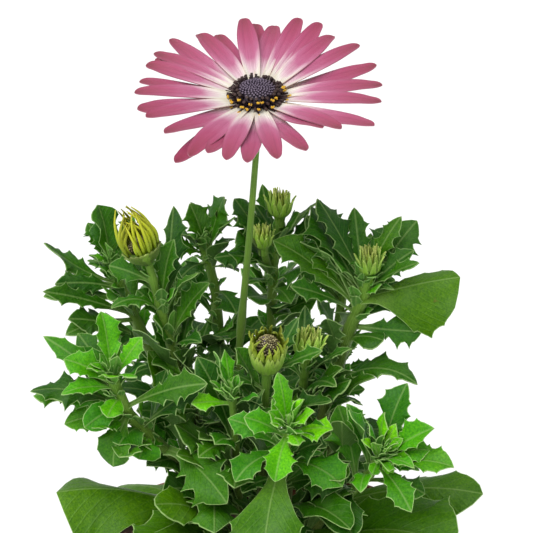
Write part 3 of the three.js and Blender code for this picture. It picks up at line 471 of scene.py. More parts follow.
def bent(leaf, turn, pitch, size):
    """The leaf turned and raised by some degrees, and smaller."""
    return leaf | dict(
        azimuth=leaf["azimuth"] + math.radians(turn), pitch=leaf["pitch"] + math.radians(pitch),
        length=leaf["length"] * size, width=leaf["width"] * size,
    )


def corner_tree(node):
    corners = node.data.vertices
    tree = kdtree.KDTree(len(corners))
    for corner in corners:
        tree.insert(corner.co / MM, corner.index)
    tree.balance()
    return tree


def blade_corners(leaf):
    """Both corners of the solid leaf's apex, and its widest point on either side."""
    apex, _, off = rib_at(leaf, 1)
    widest = 0.66 if leaf["plain"] else 0.78
    point, side, normal = rib_at(leaf, widest)
    half = leaf["width"] / 2
    top = point + normal * (half * math.sin(leaf["fold"]) + BLADE / 2)
    reach = side * half * math.cos(leaf["fold"])
    return [apex + off * BLADE / 2, apex - off * BLADE / 2, top + reach, top - reach]


def found_leaf(tree, leaf):
    """The leaf with the bend that brings its corners on to the solid's."""
    for bend in BENDS:
        trial = bent(leaf, *bend)
        if all(tree.find(Vector(corner))[2] < CORNER_MATCH for corner in blade_corners(trial)):
            return trial
    return None


trees = {name: corner_tree(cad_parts[name]) for name in STEMS}
grown = {name: [] for name in STEMS}
for name, share, leaf in planned:
    match = found_leaf(trees[name], leaf)
    if match:
        grown[name].append((share, match))
print("leaves found in the solids:", sum(map(len, grown.values())), "of", len(planned))

# %% [markdown]
# ## Sheets to grow leaves and petals from
# A leaf, a bract and a petal are all one thing: a thin closed sheet, bent and outlined in its own way. So
# the mesh operators make one flat sheet with a thickness, and each organ is a copy of it whose corners are
# moved to their place on a rib. The sheet's x runs across from -1 to 1, its y from stalk to tip, and z
# tells its faces apart. Its rim edges are sharp, so that the margin keeps a crisp line. A piece is many
# copies in one mesh, which also carries what the finishes read at each corner.

# %% Make flat sheets, and pieces out of copies
SHARP = 0.5  # an edge bent by more radians than this is drawn as a crease
ORDER_WAY = Vector((0.8147, 0.5383, 0.2158))  # no two corners of a sheet lie equally far along this way


def put_in_order(bm):
    """Number corners, edges and faces by their place, because some operators number them anew on each run."""
    bm.verts.sort(key=lambda corner: corner.co.dot(ORDER_WAY))
    bm.edges.sort(key=lambda edge: (edge.verts[0].co + edge.verts[1].co).dot(ORDER_WAY))
    bm.faces.sort(key=lambda face: face.calc_center_median().dot(ORDER_WAY))


def mesh_of(bm, name):
    """The finished mesh of what the operators made."""
    mesh = bpy.data.meshes.new(name)
    bm.to_mesh(mesh)
    bm.free()
    return mesh


def flat_sheet(across, rows):
    """A closed sheet of so many faces across and so many rows."""
    bm = bmesh.new()
    bmesh.ops.create_grid(bm, x_segments=across, y_segments=rows, size=1)
    bmesh.ops.solidify(bm, geom=bm.faces[:], thickness=1)
    middle = sum(corner.co.z for corner in bm.verts) / len(bm.verts)
    for corner in bm.verts:
        corner.co = (corner.co.x, (corner.co.y + 1) / 2, corner.co.z - middle)
    bmesh.ops.recalc_face_normals(bm, faces=bm.faces)
    for edge in bm.edges:
        edge.smooth = edge.calc_face_angle(0) < SHARP
    for face in bm.faces:
        face.smooth = True
    put_in_order(bm)
    return mesh_of(bm, f"sheet_{across}_{rows}")


def corners_of(mesh):
    flat = np.empty(len(mesh.vertices) * 3)
    mesh.vertices.foreach_get("co", flat)
    return flat.reshape(-1, 3)


def grow(name, copies):
    """One object from (mesh, places in mm, values by name) for each copy."""
    bm = bmesh.new()
    for seed, _, _ in copies:
        bm.from_mesh(seed)
    mesh = mesh_of(bm, name)
    mesh.vertices.foreach_set("co", (np.concatenate([places for _, places, _ in copies]) * MM).ravel())
    for key in copies[0][2]:
        values = np.concatenate([marks[key] for _, _, marks in copies])
        layer = mesh.attributes.new(key, "FLOAT_VECTOR", "POINT")
        layer.data.foreach_set("vector", values.astype(np.float32).ravel())
    mesh.update()
    return show(name, mesh)


print("a sheet's corners:", len(corners_of(flat_sheet(8, 12))))

# %% [markdown]
# ## The leaf
# An osteospermum's leaf is a spatula: a narrow stalk widens late into a blade with a few coarse teeth that
# point forward. The blade is folded a little along its midrib, which is sunk above and stands out below,
# and its margin waves. Each row of the sheet gets the outline's width there, so that the teeth are in the
# mesh. Every corner also keeps its place on the blade, for the veins and the pale margin in the material.

# %% Draw the leaf outlines
# A tooth is (share of the length, share of the half width). A leaf has three teeth a side, a lesser one two.
FULL_TEETH = ((0.43, 0.78), (0.60, 1.10), (0.78, 1.02))
FEW_TEETH = ((0.47, 0.84), (0.68, 1.12))
APEX = ((0.22, 0.92), (0.5, 0.66), (0.78, 0.36), (1, 0.02))  # shares of what is left past the last tooth
YOUNG = ((0, 0.3), (0.2, 0.34), (0.40, 0.62), (0.56, 1.02), (0.62, 0.80), (0.80, 0.48), (1, 0.02))


def toothed_outline(teeth, draw):
    """Stations of one margin from stalk to apex, share of the length and of the half width, drawn anew."""
    rows = [(0, 0.24), (0.09, 0.17), (0.17, 0.18), (0.26, 0.27)]
    for place, reach in teeth:
        p = place + 0.024 * draw()
        e = reach * (1 + 0.13 * draw())
        rows += [(p - 0.075, e * 0.66), (p - 0.042, e * 0.76), (p - 0.014, e * 0.94), (p, e * 1.08)]
        rows += [(p + 0.011, e * 0.88), (p + 0.042, e * 0.66)]
    last, wide = rows[-1]
    rows += [(last + (1 - last) * place, wide * width) for place, width in APEX]
    return np.array(rows)


LEAF_SHEETS = {
    kind: flat_sheet(across, rows - 1)
    for kind, across, rows in (
        (FULL_TEETH, 8, len(toothed_outline(FULL_TEETH, even_draws(1)))),
        (FEW_TEETH, 6, len(toothed_outline(FEW_TEETH, even_draws(1)))),
        (YOUNG, 4, len(YOUNG)),
    )
}
print("faces of a leaf, by size:", [len(sheet.polygons) for sheet in LEAF_SHEETS.values()])

# %% Shape one leaf
THICK_MIDDLE = 0.5
THICK_MARGIN = 0.22
FULLER = 1.1  # a real margin bulges past the straight edges of the solid leaf
LARGE_LEAF = 42  # a longer leaf than this has shallow teeth
YOUNG_AGE = 0.45  # and so has a younger one than this
BROAD = 0.6  # a leaf wider than this share of its length is round
WAVE = 0.3  # rise of the margin's waves, as a share of the half width
DISH = 0.22  # the most that the blade is dished, likewise
EDGE_CURL = 0.16  # how far the margin rolls under, likewise
TIP_CURL = 0.21  # and the apex, as a share of the length
FORWARD = 0.16  # how far the margin sweeps towards the apex, as a share of the width
RIB_WIDTH = 0.6
LANCE = ((0, 0.2, 0.4, 0.58, 0.72, 0.86, 1), (0.2, 0.3, 0.74, 1.04, 0.94, 0.54, 0.02))
ROUND = ((0, 0.14, 0.3, 0.45, 0.6, 0.72, 0.84, 0.93, 1), (0.2, 0.2, 0.4, 0.78, 1, 1, 0.88, 0.64, 0.02))
SPATULA = ((0, 0.16, 0.34, 0.52, 0.67, 0.8, 0.9, 0.96, 1), (0.2, 0.2, 0.46, 0.86, 1, 0.95, 0.76, 0.48, 0.02))


def margins(kind, draw):
    """Both margins of one leaf, left and right, as (stations, shares of the half width)."""
    if kind is YOUNG:
        return np.array((YOUNG, YOUNG)).transpose(2, 0, 1)
    return np.array([toothed_outline(kind, draw) for _ in range(2)]).transpose(2, 0, 1)


def leaf_copy(leaf, age, tint, draw):
    """A sheet, its corners in mm, and what the leaf material reads from them."""
    kind = (FEW_TEETH if leaf["length"] > 6.5 else YOUNG) if leaf["plain"] else FULL_TEETH
    sheet = LEAF_SHEETS[kind]
    w, row, layer = corners_of(sheet).T
    stations, widths = margins(kind, draw)
    # Broad, large and young leaves each draw near to a plain form of their own.
    broad = leaf["width"] > BROAD * leaf["length"]
    if broad:
        widths = 0.2 * widths + 0.8 * np.interp(stations, *ROUND)
    elif leaf["length"] > LARGE_LEAF:
        widths = 0.4 * widths + 0.6 * np.interp(stations, *SPATULA)
    elif age < YOUNG_AGE:
        widths = 0.55 * widths + 0.45 * np.interp(stations, *LANCE)
    step = np.rint(row * (stations.shape[1] - 1)).astype(int)
    right = (w > 0).astype(int)
    middle = stations.mean(0)[step]
    t = middle + (stations[right, step] - middle) * np.abs(w)
    half = (1 if broad else FULLER) * leaf["width"] / 2 * widths[right, step]
    half = half * np.array(leaf.get("halves", (1, 1)))[right]
    forward = (0 if broad else FORWARD) * leaf["width"] / leaf["length"] * np.abs(w) ** 1.6
    forward = forward + 0.035 * w * draw()
    calm = 0.2 if leaf["length"] > LARGE_LEAF else 1
    leaf = leaf | dict(twist=0.5 * calm * draw())
    point, side, normal = rib_at(leaf, np.clip(t + forward * np.sin(math.pi * t), 0, 1))
    rise = (leaf["fold"] + 0.2 * draw()) * np.minimum(1, t / 0.3)
    reach = np.abs(w) * half
    wave = WAVE * half * w**2 * np.sin((9 + 3 * draw()) * t + 3 * draw() + np.sign(w) * (1 + draw()))
    dish = DISH * calm * half * w**2 * draw()
    curl = -EDGE_CURL * half * w**4
    curl = curl - TIP_CURL * leaf["length"] * (1 + draw()) * np.clip(t - 0.6, 0, 1) ** 2
    rib = np.exp(-((w * half / RIB_WIDTH) ** 2)) * np.clip(half / 2, 0.2, 1)
    thick = THICK_MARGIN + (THICK_MIDDLE - THICK_MARGIN) * (1 - np.abs(w))
    lift = reach * np.sin(rise) + wave + dish + curl + layer * thick - rib * np.where(layer > 0, 0.22, 0.4)
    places = point + side * (np.sign(w) * reach * np.cos(rise))[:, None] + normal * lift[:, None]
    upper = (layer > 0).astype(float)
    ones = np.ones(len(w))
    return sheet, places, dict(
        blade=np.stack([w * half, t * leaf["length"], upper], -1),
        growth=np.stack([ones * age, ones * tint, half * (1 - np.abs(w))], -1),
        share=np.stack([w, t, ones * leaf["length"]], -1),
    )


print("a leaf is from", THICK_MARGIN, "to", THICK_MIDDLE, "mm thick")

# %% [markdown]
# ## The leaves that close the bush
# The solids hold the large leaves only. A real shoot also ends in a rosette of young leaves that unfold one
# over another, each turned by the golden angle from the one before, and it carries small leaves in the
# axils of the large ones and older leaves along its foot. These are what make the bush look full from every
# side.

# %% Count the closing leaves of each shoot
# Rosette: leaves, length of the outermost. Foot: leaves, from and to which share of the stem, length.
CLOSING = dict(
    shoot_west=((9, 11), (5, 0.10, 0.50, 20)), shoot_west_bud=((0, 0), (5, 0.10, 0.45, 19)),
    shoot_north_west=((8, 10), (5, 0.10, 0.42, 18)), shoot_north=((0, 0), (5, 0.12, 0.48, 17)),
    flower_stalk=((0, 0), (6, 0.08, 0.34, 18)), shoot_east=((8, 10), (5, 0.10, 0.42, 20)),
    shoot_centre_bud=((0, 0), (7, 0.14, 0.80, 17)), shoot_east_bud=((0, 0), (7, 0.14, 0.80, 17)),
    shoot_south_west=((8, 14), (5, 0.12, 0.5, 20)), shoot_south_centre=((7, 10), (6, 0.14, 0.75, 17)),
    shoot_south=((8, 13), (6, 0.14, 0.70, 20)), shoot_south_east=((8, 14), (6, 0.12, 0.70, 20)),
    shoot_north_east=((11, 15), (13, 0.12, 0.85, 25)), shoot_east_low=((9, 10), (11, 0.12, 0.85, 23)),
    shoot_north_far=((11, 15), (13, 0.12, 0.85, 25)), shoot_west_far=((11, 15), (13, 0.12, 0.85, 25)),
)
BRIGHT = {"shoot_south_west", "shoot_south_centre", "shoot_south", "shoot_south_east"}
print("rosettes:", sum(rosette[0] > 0 for rosette, _ in CLOSING.values()))

# %% Set the leaves that lie between the large ones
# Share of the stem, tip, width, droop and face, as for the large leaves, and for some their age.
BETWEEN = dict(
    shoot_east=[
        (0.78, (14, 8, 195), 11, 12, 20), (0.7, (11, 6, 190), 9, 20, 20), (0.86, (42, -2, 198), 6, 20, 40),
        (0.34, (26, -16, 143), 10, 30, 40), (0.5, (37, -10, 161), 9, 30, 40, 0.8),
        (0.8, (17, 6, 193), 13, 20, 20, 0.6), (0.72, (16, 6, 199), 15, 6, 10, 0.65),
        (0.4, (19, -6, 162), 9, 20, 30, 0.7), (0.45, (17, -4, 172), 7, 20, 30, 0.7),
    ],
    shoot_north_west=[
        (0.92, (-12, 22, 196), 11, 10, 60, 0.6), (0.82, (-11, 22, 182), 9, 30, 20),
        (0.42, (-20, 4, 157), 13, 14, 30), (0.36, (-17, -4, 154), 11, 24, 30),
        (0.9, (-22, 24, 193), 9, 10, 50, 0.7),
    ],
    shoot_north=[
        (0.8, (-8, 22, 190), 9, 10, 10), (0.74, (-11, 18, 179), 9, 20, 20),
        (0.66, (0, 12, 178), 7, 40, 20), (0.5, (9, 10, 166), 9, 30, 20), (0.42, (12, 6, 164), 9, 30, 20),
        (0.72, (-7, 20, 186), 10, 10, 10, 0.8), (0.55, (-4, 8, 168), 9, 20, 30, 0.8),
        (0.8, (11, 14, 194), 9, 20, 40, 0.7),
    ],
    shoot_south_west=[
        (0.74, (-60, -26, 140), 9, 30, 50), (0.82, (-53, -34, 142), 9, 30, 50),
        (0.66, (-43, -34, 137), 11, 40, 50), (0.88, (-56, -20, 163), 8, 16, 40),
        (0.5, (-34, -20, 135), 9, 30, 30), (0.3, (-26, -30, 115), 13, 40, 50),
        (0.16, (-29, -34, 122), 13, 40, 40), (0.6, (-37, -30, 130), 12, 50, 40),
        (0.76, (-45, -34, 129), 11, 60, 60, 0.6), (0.3, (-34, -12, 158), 11, 20, 50),
        (0.5, (-11, -46, 123), 15, 44, 65, 0.5), (0.8, (-17, -38, 158), 9, 20, 60, 0.8),
        (0.8, (-70, -24, 150), 12, 40, 30, 0.8), (0.2, (-14, -48, 115), 13, 70, 30, 0.6),
        (0.86, (-56, -14, 165), 9, 10, 50, 0.6),
    ],
    shoot_west=[
        (0.78, (-63, -2, 176), 7, 24, 50), (0.86, (-51, 14, 191), 9, 10, 30, 0.6),
        (0.5, (-59, -8, 167), 10, 30, 60, 0.8), (0.62, (-66, -8, 176), 6, 10, 50, 0.8),
    ],
    shoot_west_bud=[
        (0.6, (-38, -4, 175), 8, 20, 30, 0.7), (0.72, (-40, 0, 182), 6, 20, 20, 0.8),
        (0.3, (-26, -10, 157), 12, 30, 30), (0.24, (-31, -14, 147), 13, 30, 40),
        (0.5, (-33, -10, 168), 10, 20, 40), (0.34, (-33, -16, 156), 12, 60, 50),
        (0.26, (-29, -22, 145), 12, 50, 50), (0.36, (-33, -2, 164), 10, 30, 40, 0.7),
    ],
    shoot_south_east=[
        (0.9, (50, -40, 138), 9, 30, 50), (0.7, (45, -34, 141), 10, 20, 40),
        (0.5, (24, -34, 144), 11, 24, 40), (0.8, (26, -32, 149), 6, 20, 40),
        (0.14, (23, -48, 132), 15, 50, 40), (0.05, (57, -46, 108), 28, 60, 60),
        (0.16, (27, -58, 118), 14, 80, 20, 0.6), (0.62, (23, -26, 146), 12, 20, 40, 0.5),
        (0.4, (19, -34, 134), 13, 60, 30, 0.7), (0.97, (42, -40, 141), 4.5, 20, 60, 0.05),
        (0.97, (45, -42, 134), 5, 30, 70, 0.05), (0.97, (39, -44, 131), 4, 40, 70, 0.05),
        (0.97, (33, -42, 130), 4.5, 30, 60, 0.1), (0.97, (30, -40, 141), 4, 20, 60, 0.05),
        (0.98, (40, -38, 145), 4, 10, 50, 0),
    ],
    shoot_south=[
        (0.5, (-5, -40, 143), 11, 40, 40), (0.6, (17, -44, 142), 11, 40, 40),
        (0.12, (21, -62, 105), 19, 90, 10), (0.72, (0, -66, 101), 28, 90, 0, 0.85),
        (0.5, (24, -42, 126), 13, 60, 40, 0.7), (0.97, (12, -50, 158), 4.5, 10, 60, 0.05),
        (0.97, (15, -52, 155), 5, 20, 60, 0.05), (0.97, (2, -50, 154), 4.5, 20, 60, 0.05),
        (0.97, (11, -56, 146), 5, 40, 70, 0.05), (0.2, (11, -50, 114), 13, 70, 20, 0.6),
    ],
    shoot_south_centre=[
        (0.4, (-18, -36, 141), 11, 40, 40), (0.3, (-25, -34, 134), 12, 40, 50),
        (0.35, (-26, -26, 140), 12, 30, 40), (0.34, (-8, -50, 130), 10, 80, 10),
        (0.06, (-36, -56, 109), 22, 60, 60), (0.1, (-16, -62, 102), 20, 95, 10),
        (0.55, (-19, -22, 160), 10, 20, 30, 0.6),
    ],
    shoot_centre_bud=[
        (0.5, (-5, -30, 151), 10, 20, 40), (0.4, (11, -30, 149), 10, 20, 40),
        (0.62, (-14, -20, 158), 10, 30, 40, 0.5), (0.7, (-8, -22, 163), 8, 10, 20, 0.6),
    ],
    shoot_east_bud=[
        (0.4, (23, -26, 159), 10, 30, 40),
    ],
    flower_stalk=[
        (0.2, (-9, -8, 149), 11, 20, 20), (0.2, (-35, -22, 125), 12, 30, 50),
        (0.24, (-20, -14, 148), 12, 40, 50),
    ],
)
print("leaves between:", sum(map(len, BETWEEN.values())))

# %% Spring the young leaves of tips, feet and leaf angles
AXIL_AGE = 0.28  # of leaves in a leaf angle, where 0 is just unfolded and 1 about to dry


def rosette_leaves(stem, count, length, draw):
    """Leaves that stand wide at the outside of a tip and close over its middle."""
    leaves = []
    for i in range(count):
        inner = i / max(count - 1, 1)
        size = length * (1 - 0.46 * inner) * (1 + 0.14 * draw())
        turn = GOLDEN * i + 14 * draw()
        angle = 62 - 54 * inner**0.8 + 8 * draw()
        slim, droop = 0.44 - 0.16 * inner, 30 - 24 * inner
        leaf = springing(stem, 0.92 + 0.08 * inner, turn, angle, size, slim, droop, 12)
        leaves.append((leaf | dict(fold=math.radians(14 + 16 * inner)), 0.26 - 0.26 * inner))
    return leaves


def foot_leaves(stem, dropped, count, low, high, length, draw):
    """Old leaves along a stem's foot, without those that have dropped."""
    leaves = []
    for i in range(count):
        share = low + (high - low) * i / max(count - 1, 1)
        size = length * (1.05 - 0.35 * share) * (1 + 0.2 * draw())
        turn = 40 + GOLDEN * i + 20 * draw()
        angle = 62 + 14 * draw()
        leaf = springing(stem, share, turn, angle, size, 0.44, 40 + 16 * draw(), 25)
        if i not in dropped:
            leaves.append((leaf | dict(plain=size < 15), 0.9 - 0.5 * share))
    return leaves


def axil_leaves(stem, share, leaf, draw):
    """Two young leaves in the angle between a leaf and its stem."""
    along = stem_direction(stem, min(share + 0.03, 1))
    out = unit(rib_at(leaf, 0.2)[0] - leaf["root"])
    young = []
    for way in (1, -1):
        aside = unit(np.cross(along, out)) * way
        reach = unit(along * (1 + 0.2 * draw()) + out * 0.7 + aside * (0.55 + 0.25 * draw()))
        size = (0.28 + 0.07 * draw()) * leaf["length"] + 2
        tip = leaf["root"] + reach * size
        young.append((leaf_to(leaf["root"], tip, 0.42 * size, 14, 15, plain=True), AXIL_AGE))
    return young


print("a rosette:", len(rosette_leaves(STEMS["shoot_south"], 8, 13, even_draws(1))), "leaves")

# %% [markdown]
# ## How the leaves have settled
# A leaf sinks, narrows or droops as it ages and as its neighbours press on it. So some leaves differ a
# little from their solid: most tips have moved by a few millimetres, and a few old leaves at the foot have
# dropped, so that daylight shows through there.

# %% Note how leaves have settled
# By shoot and leaf: how far the tip moved in mm, droop gained in degrees, share of the width, and where its
# two halves differ, the share of each.
SETTLED = dict(
    shoot_west={
        2: ((0, 0, 0.5), -45, 1.45), 3: ((0, 0, 0), 0, 0.8), 4: ((0, 0, 0), 0, 0.65),
        5: ((0, 0, -2), -5, 0.75),
    },
    shoot_west_bud={
        0: ((-1, 0, 0), 0, 0.75, (1.3, 0.6)), 2: ((-2, 0, 0), 0, 0.75), 5: ((0, 0, 1), 0, 0.85),
        6: ((0, 0, 4), 40, 0.8), 8: ((3, 0, 3), 0, 0.8), 12: ((-2, 0, -6), 0, 0.6),
    },
    shoot_north_west={
        4: ((0, 0, 3), 0, 0.8), 7: ((2, 0, -4), 0, 1), 8: ((0, 0, -14), 0, 0.8), 13: ((2, 0, 4), 0, 0.55),
    },
    shoot_north={8: ((0, 0, 3), 0, 0.7), 12: ((0, 0, -12), 10, 0.6)},
    shoot_east={
        0: ((-1, 0, 0), 0, 0.85), 1: ((2, 0, 0), 0, 0.9), 2: ((0, 0, -2), 0, 0.8),
        4: ((-2, 0, 1), 0, 0.85), 5: ((-4, 0, -1), 0, 0.8), 6: ((-1, 0, -0.3), 0, 1, (1.2, 0.45)),
        7: ((0, 0, -2.8), -30, 0.75), 9: ((2, 0, 0.5), 62, 1.1, (0.45, 0.9)), 12: ((-4, 0, 0), 0, 0.6),
        13: ((0, 0, 1.5), 0, 0.9), 14: ((0, 0, -3), 0, 0.7), 17: ((0, 0, -1.5), 0, 0.86, (0.95, 0.75)),
        20: ((0, 0, 2), 0, 0.7),
    },
    shoot_south_west={
        6: ((2, 0, 0), 20, 0.75), 10: ((0, 0, 3.5), 0, 0.7), 11: ((0, 0, 3), 0, 0.9),
        14: ((0, 0, 4), 0, 1.12, (1, 1.12)),
    },
    shoot_south_east={0: ((2, 0, -1), 0, 0.75), 4: ((0, 0, 1), 0, 0.85), 9: ((-2, 0, 0), 0, 0.92)},
    shoot_east_low={5: ((-8, 0, -10), 0, 0.4)},
    shoot_north_far={8: ((0, 0, -14), 0, 0.6)},
)
UNMOVED = ((0, 0, 0), 0, 1)
# Leaves of the foot that have dropped, by shoot and number.
DROPPED = dict(
    shoot_north=(4,), shoot_south_west=(1, 4), shoot_north_east=(5, 8, 9), shoot_east_low=(5, 9, 10),
    shoot_north_far=(11,), shoot_west_far=(1, 9, 10),
)
PAINTED_LIGHT_LEAF = ("shoot_east", 6)  # the one leaf above the foot given the full age, so that its paler colour is painted light on a leaf that lies in shade


def settled(leaf, shift, droop, wide, halves=(1, 1)):
    """The leaf with its tip shifted, and with its new droop and width."""
    tip = rib_at(leaf, 1)[0] + shift
    moved = leaf_to(leaf["root"], tip, leaf["width"] * wide, math.degrees(leaf["droop"]) + droop, 0)
    kept = {key: moved[key] for key in ("azimuth", "pitch", "droop", "length", "width")}
    return leaf | kept | dict(halves=halves)


print("settled:", sum(map(len, SETTLED.values())), "dropped:", sum(map(len, DROPPED.values())))

# %% Grow the leaves of every shoot
# A leaf's age runs from 0, just unfolded, to 1, about to dry.
GREEN_AGE = 0.52  # the youngest in a green shoot
BRIGHT_AGE = 0.15  # the youngest in a bright shoot
FULL_AGE = 0.76  # the oldest above the foot
FOOT_SHARE = 0.2
TIP_SHARE = 0.7  # leaves of a bright shoot that spring past this are younger still
UNFOLDED = 9  # length at which a leaf of the solids starts to age
GROWING = 22  # and how much longer it is when it is full grown

leaf_pieces = {}
closing_count = 0
for k, shoot in enumerate(SHOOTS):
    name, stem, bright = shoot["name"], shoot["stem"], shoot["name"] in BRIGHT
    youngest = BRIGHT_AGE if bright else GREEN_AGE
    draw = even_draws(300 + k)
    (count, length), foot = CLOSING[name]
    leaves = []
    for row, (share, leaf) in enumerate(grown[name]):
        leaf = settled(leaf, *SETTLED.get(name, {}).get(row, UNMOVED))
        oldest = 1 if share < FOOT_SHARE else FULL_AGE
        age = min(oldest, max(youngest, (leaf["length"] - UNFOLDED) / GROWING))
        # Painted light: this shaded leaf takes the paler colour of the full age.
        if (name, row) == PAINTED_LIGHT_LEAF:
            age = 1
        if bright and share > TIP_SHARE:
            age *= 0.55
        leaves.append((leaf, age))
        if leaf["length"] > 11 and share > 0.3:
            leaves += axil_leaves(stem, share, leaf, draw)
    for share, tip, width, droop, face, *given_age in BETWEEN.get(name, ()):
        leaf = leaf_to(stem_point(stem, share), tip, width, droop, face)
        age = min(0.9, max(youngest, leaf["length"] / 32)) * (0.6 if bright and share > TIP_SHARE else 1)
        leaves.append((leaf, *(given_age or [age])))
    if count:
        rosette = rosette_leaves(stem, count, length, draw)
        leaves += [(leaf, age if bright else age + 0.22) for leaf, age in rosette]
    leaves += foot_leaves(stem, DROPPED.get(name, ()), *foot, draw)
    closing_count += len(leaves) - len(grown[name])
    copies = [leaf_copy(leaf, age + 0.06 * draw(), 0.5 + 0.5 * draw(), draw) for leaf, age in leaves]
    leaf_pieces[name] = grow(f"leaves_{name}", copies)
print("closing leaves:", closing_count, "faces:", sum(len(p.data.polygons) for p in leaf_pieces.values()))

# %% [markdown]
# ## The stems
# The stems are soft and a little ribbed, thicker at each leaf, and stand in the compost. A cone with even
# ends, cut into many rings by subdividing its long edges, is a straight rod, and its rings are then moved
# on to the stem's line.

# %% Make a rod and lay it along a line
def straight_rod(sides, rings):
    """An upright rod with so many sides and rings of corners."""
    bm = bmesh.new()
    bmesh.ops.create_cone(bm, cap_ends=True, segments=sides, radius1=1, radius2=1, depth=1)
    long_edges = [e for e in bm.edges if abs(e.verts[0].co.z - e.verts[1].co.z) > 0.5]
    bmesh.ops.subdivide_edges(bm, edges=long_edges, cuts=rings - 2, use_grid_fill=True)
    for face in bm.faces:
        face.smooth = len(face.verts) == 4
    return mesh_of(bm, f"rod_{sides}_{rings}")


def rod_copy(rod, line, radii, ribs=0.06, nodes=(), tint=0.5):
    """A rod laid along a line of points, its radius from radii[0] to radii[1], swollen at the nodes."""
    x, y, z = corners_of(rod).T
    shares = np.round(z + 0.5, 6)
    turn = np.arctan2(y, x)
    reach = np.hypot(x, y)
    places = np.zeros((len(x), 3))
    for share in np.unique(shares):
        ring = shares == share
        side, front = directions_across(stem_direction(line, share))
        swell = sum(math.exp(-(((share - node) / 0.018) ** 2)) for node in nodes)
        radius = radii[0] + (radii[1] - radii[0]) * share + 0.35 * min(swell, 1)
        radius = radius * (1 + ribs * np.cos(5 * turn[ring])) * reach[ring]
        across = np.cos(turn[ring])[:, None] * side + np.sin(turn[ring])[:, None] * front
        places[ring] = stem_point(line, share) + radius[:, None] * across
    marks = dict(share=np.stack([turn / math.pi, shares, np.full(len(x), tint)], -1))
    return rod, places, marks


print("rod faces:", len(straight_rod(10, 44).polygons))

# %% Lay the stems
STAND_DEPTH = 16
STAND_RISE = 3
STALK_SWAY = 2.0  # the flower stalk leans to the right by this much more
STEM_ROD = straight_rod(10, 44)
BUD_ROD = straight_rod(8, 10)

stem_pieces = {}
for k, shoot in enumerate(SHOOTS):
    stem = shoot["stem"]
    ground = np.array(stem[0], float)
    line = [ground + (0, 0, -STAND_DEPTH), ground + (0, 0, STAND_RISE)]
    line += [stem_point(stem, share) for share in np.linspace(0.16, 1, 9)]
    line = [point + (STALK_SWAY * (share - 0.6) if stem is STEMS["flower_stalk"] else 0, 0, 0)
            for share, point in zip(np.linspace(0, 1, len(line)), line)]
    foot, tip = shoot["radius"]
    nodes = [0.16 + 0.84 * share for share, _ in grown[shoot["name"]]]
    copies = [rod_copy(STEM_ROD, line, (foot * 0.8, tip * 0.86), 0.05, nodes, (k % 5) / 5)]
    for owner, bud_foot, direction, _, _, share in GREEN_BUDS:
        if owner == shoot["name"] and share < 1:
            root = stem_point(stem, share)
            middle = (root + bud_foot) / 2 + (0, 0, -1)
            copies.append(rod_copy(BUD_ROD, [root, middle, np.array(bud_foot, float)], (1.15, 1.25)))
    stem_pieces[shoot["name"]] = grow(f"stem_{shoot['name']}", copies)
print("stems:", len(stem_pieces))

# %% [markdown]
# ## Petals and bracts round an axis
# Flowers and buds are built round an axis, one organ at a time. A profile of radius and height carries a
# sheet's middle line outwards and upwards, a half width opens it, and a roll angle curls its two margins
# towards its inner face: a few degrees for a flat ray, most of a circle for one that is still furled.

# %% Shape a sheet round an axis
def flowing(keys, share):
    """A smooth curve through even keys."""
    keys = np.array(keys, float)
    keys = np.concatenate([[2 * keys[0] - keys[1]], keys, [2 * keys[-1] - keys[-2]]])
    spans = len(keys) - 3
    k = np.minimum((share * spans).astype(int), spans - 1)
    t = share * spans - k
    p0, p1, p2, p3 = (keys[k + i] for i in range(4))
    square = (2 * p0 - 5 * p1 + 4 * p2 - p3) * t**2
    cube = (3 * p1 - p0 - 3 * p2 + p3) * t**3
    return 0.5 * (2 * p1 + (p2 - p0) * t + square + cube)


def petal_copy(
    sheet, turn, radius, height, half, roll, thick,
    tint=0.5, grooves=0.0, twist=0.0, aside=0.0, warp=0.0, blunt=0.0,
):
    """A sheet whose middle line follows radius and height, turned about the axis."""
    w, row, layer = corners_of(sheet).T
    r, z = flowing(radius, row), flowing(height, row)
    step = 1e-3
    dr = flowing(radius, np.minimum(row + step, 1)) - flowing(radius, np.maximum(row - step, 0))
    dz = flowing(height, np.minimum(row + step, 1)) - flowing(height, np.maximum(row - step, 0))
    slope = np.hypot(dr, dz)
    inner_r, inner_z = -dz / slope, dr / slope
    width = flowing(half, row)
    if blunt:
        width = width * np.sqrt(1 - (np.clip(row - 1 + blunt, 0, 1) / blunt) ** 2)
    width = np.maximum(width, 0.02)
    curl = np.maximum(np.radians(flowing(roll, row)), 1e-3)
    bow = width / curl
    across = bow * np.sin(curl * w)
    raised = bow * (1 - np.cos(curl * w)) + layer * thick
    groove = (np.cos(3 * math.pi * w) * 0.5 - 0.5) * np.sin(math.pi * np.minimum(row * 1.15, 1))
    raised += grooves * width * groove
    raised += warp * width * w * np.sin(5 * row + turn)
    c, s = np.cos(math.radians(twist) * row), np.sin(math.radians(twist) * row)
    across, raised = across * c - raised * s, across * s + raised * c
    out = r + raised * inner_r
    across = across + aside * row**2
    c, s = math.cos(math.radians(turn)), math.sin(math.radians(turn))
    places = np.stack([out * c - across * s, out * s + across * c, z + raised * inner_z], -1)
    upper = (layer > 0).astype(float)
    share = np.stack([w, row, np.full(len(w), tint)], -1)
    return sheet, places, dict(share=share, blade=np.stack([w * width, row, upper], -1))


def stand(copies, foot, direction):
    """Move copies from the upright axis to a foot and a direction."""
    turn = Vector((0, 0, 1)).rotation_difference(Vector(direction))
    turn = np.array(turn.to_matrix())
    return [(mesh, places @ turn.T + np.array(foot, float), marks) for mesh, places, marks in copies]


print("half way along even keys 0, 1, 4:", flowing((0, 1, 4), np.array([0.5])))

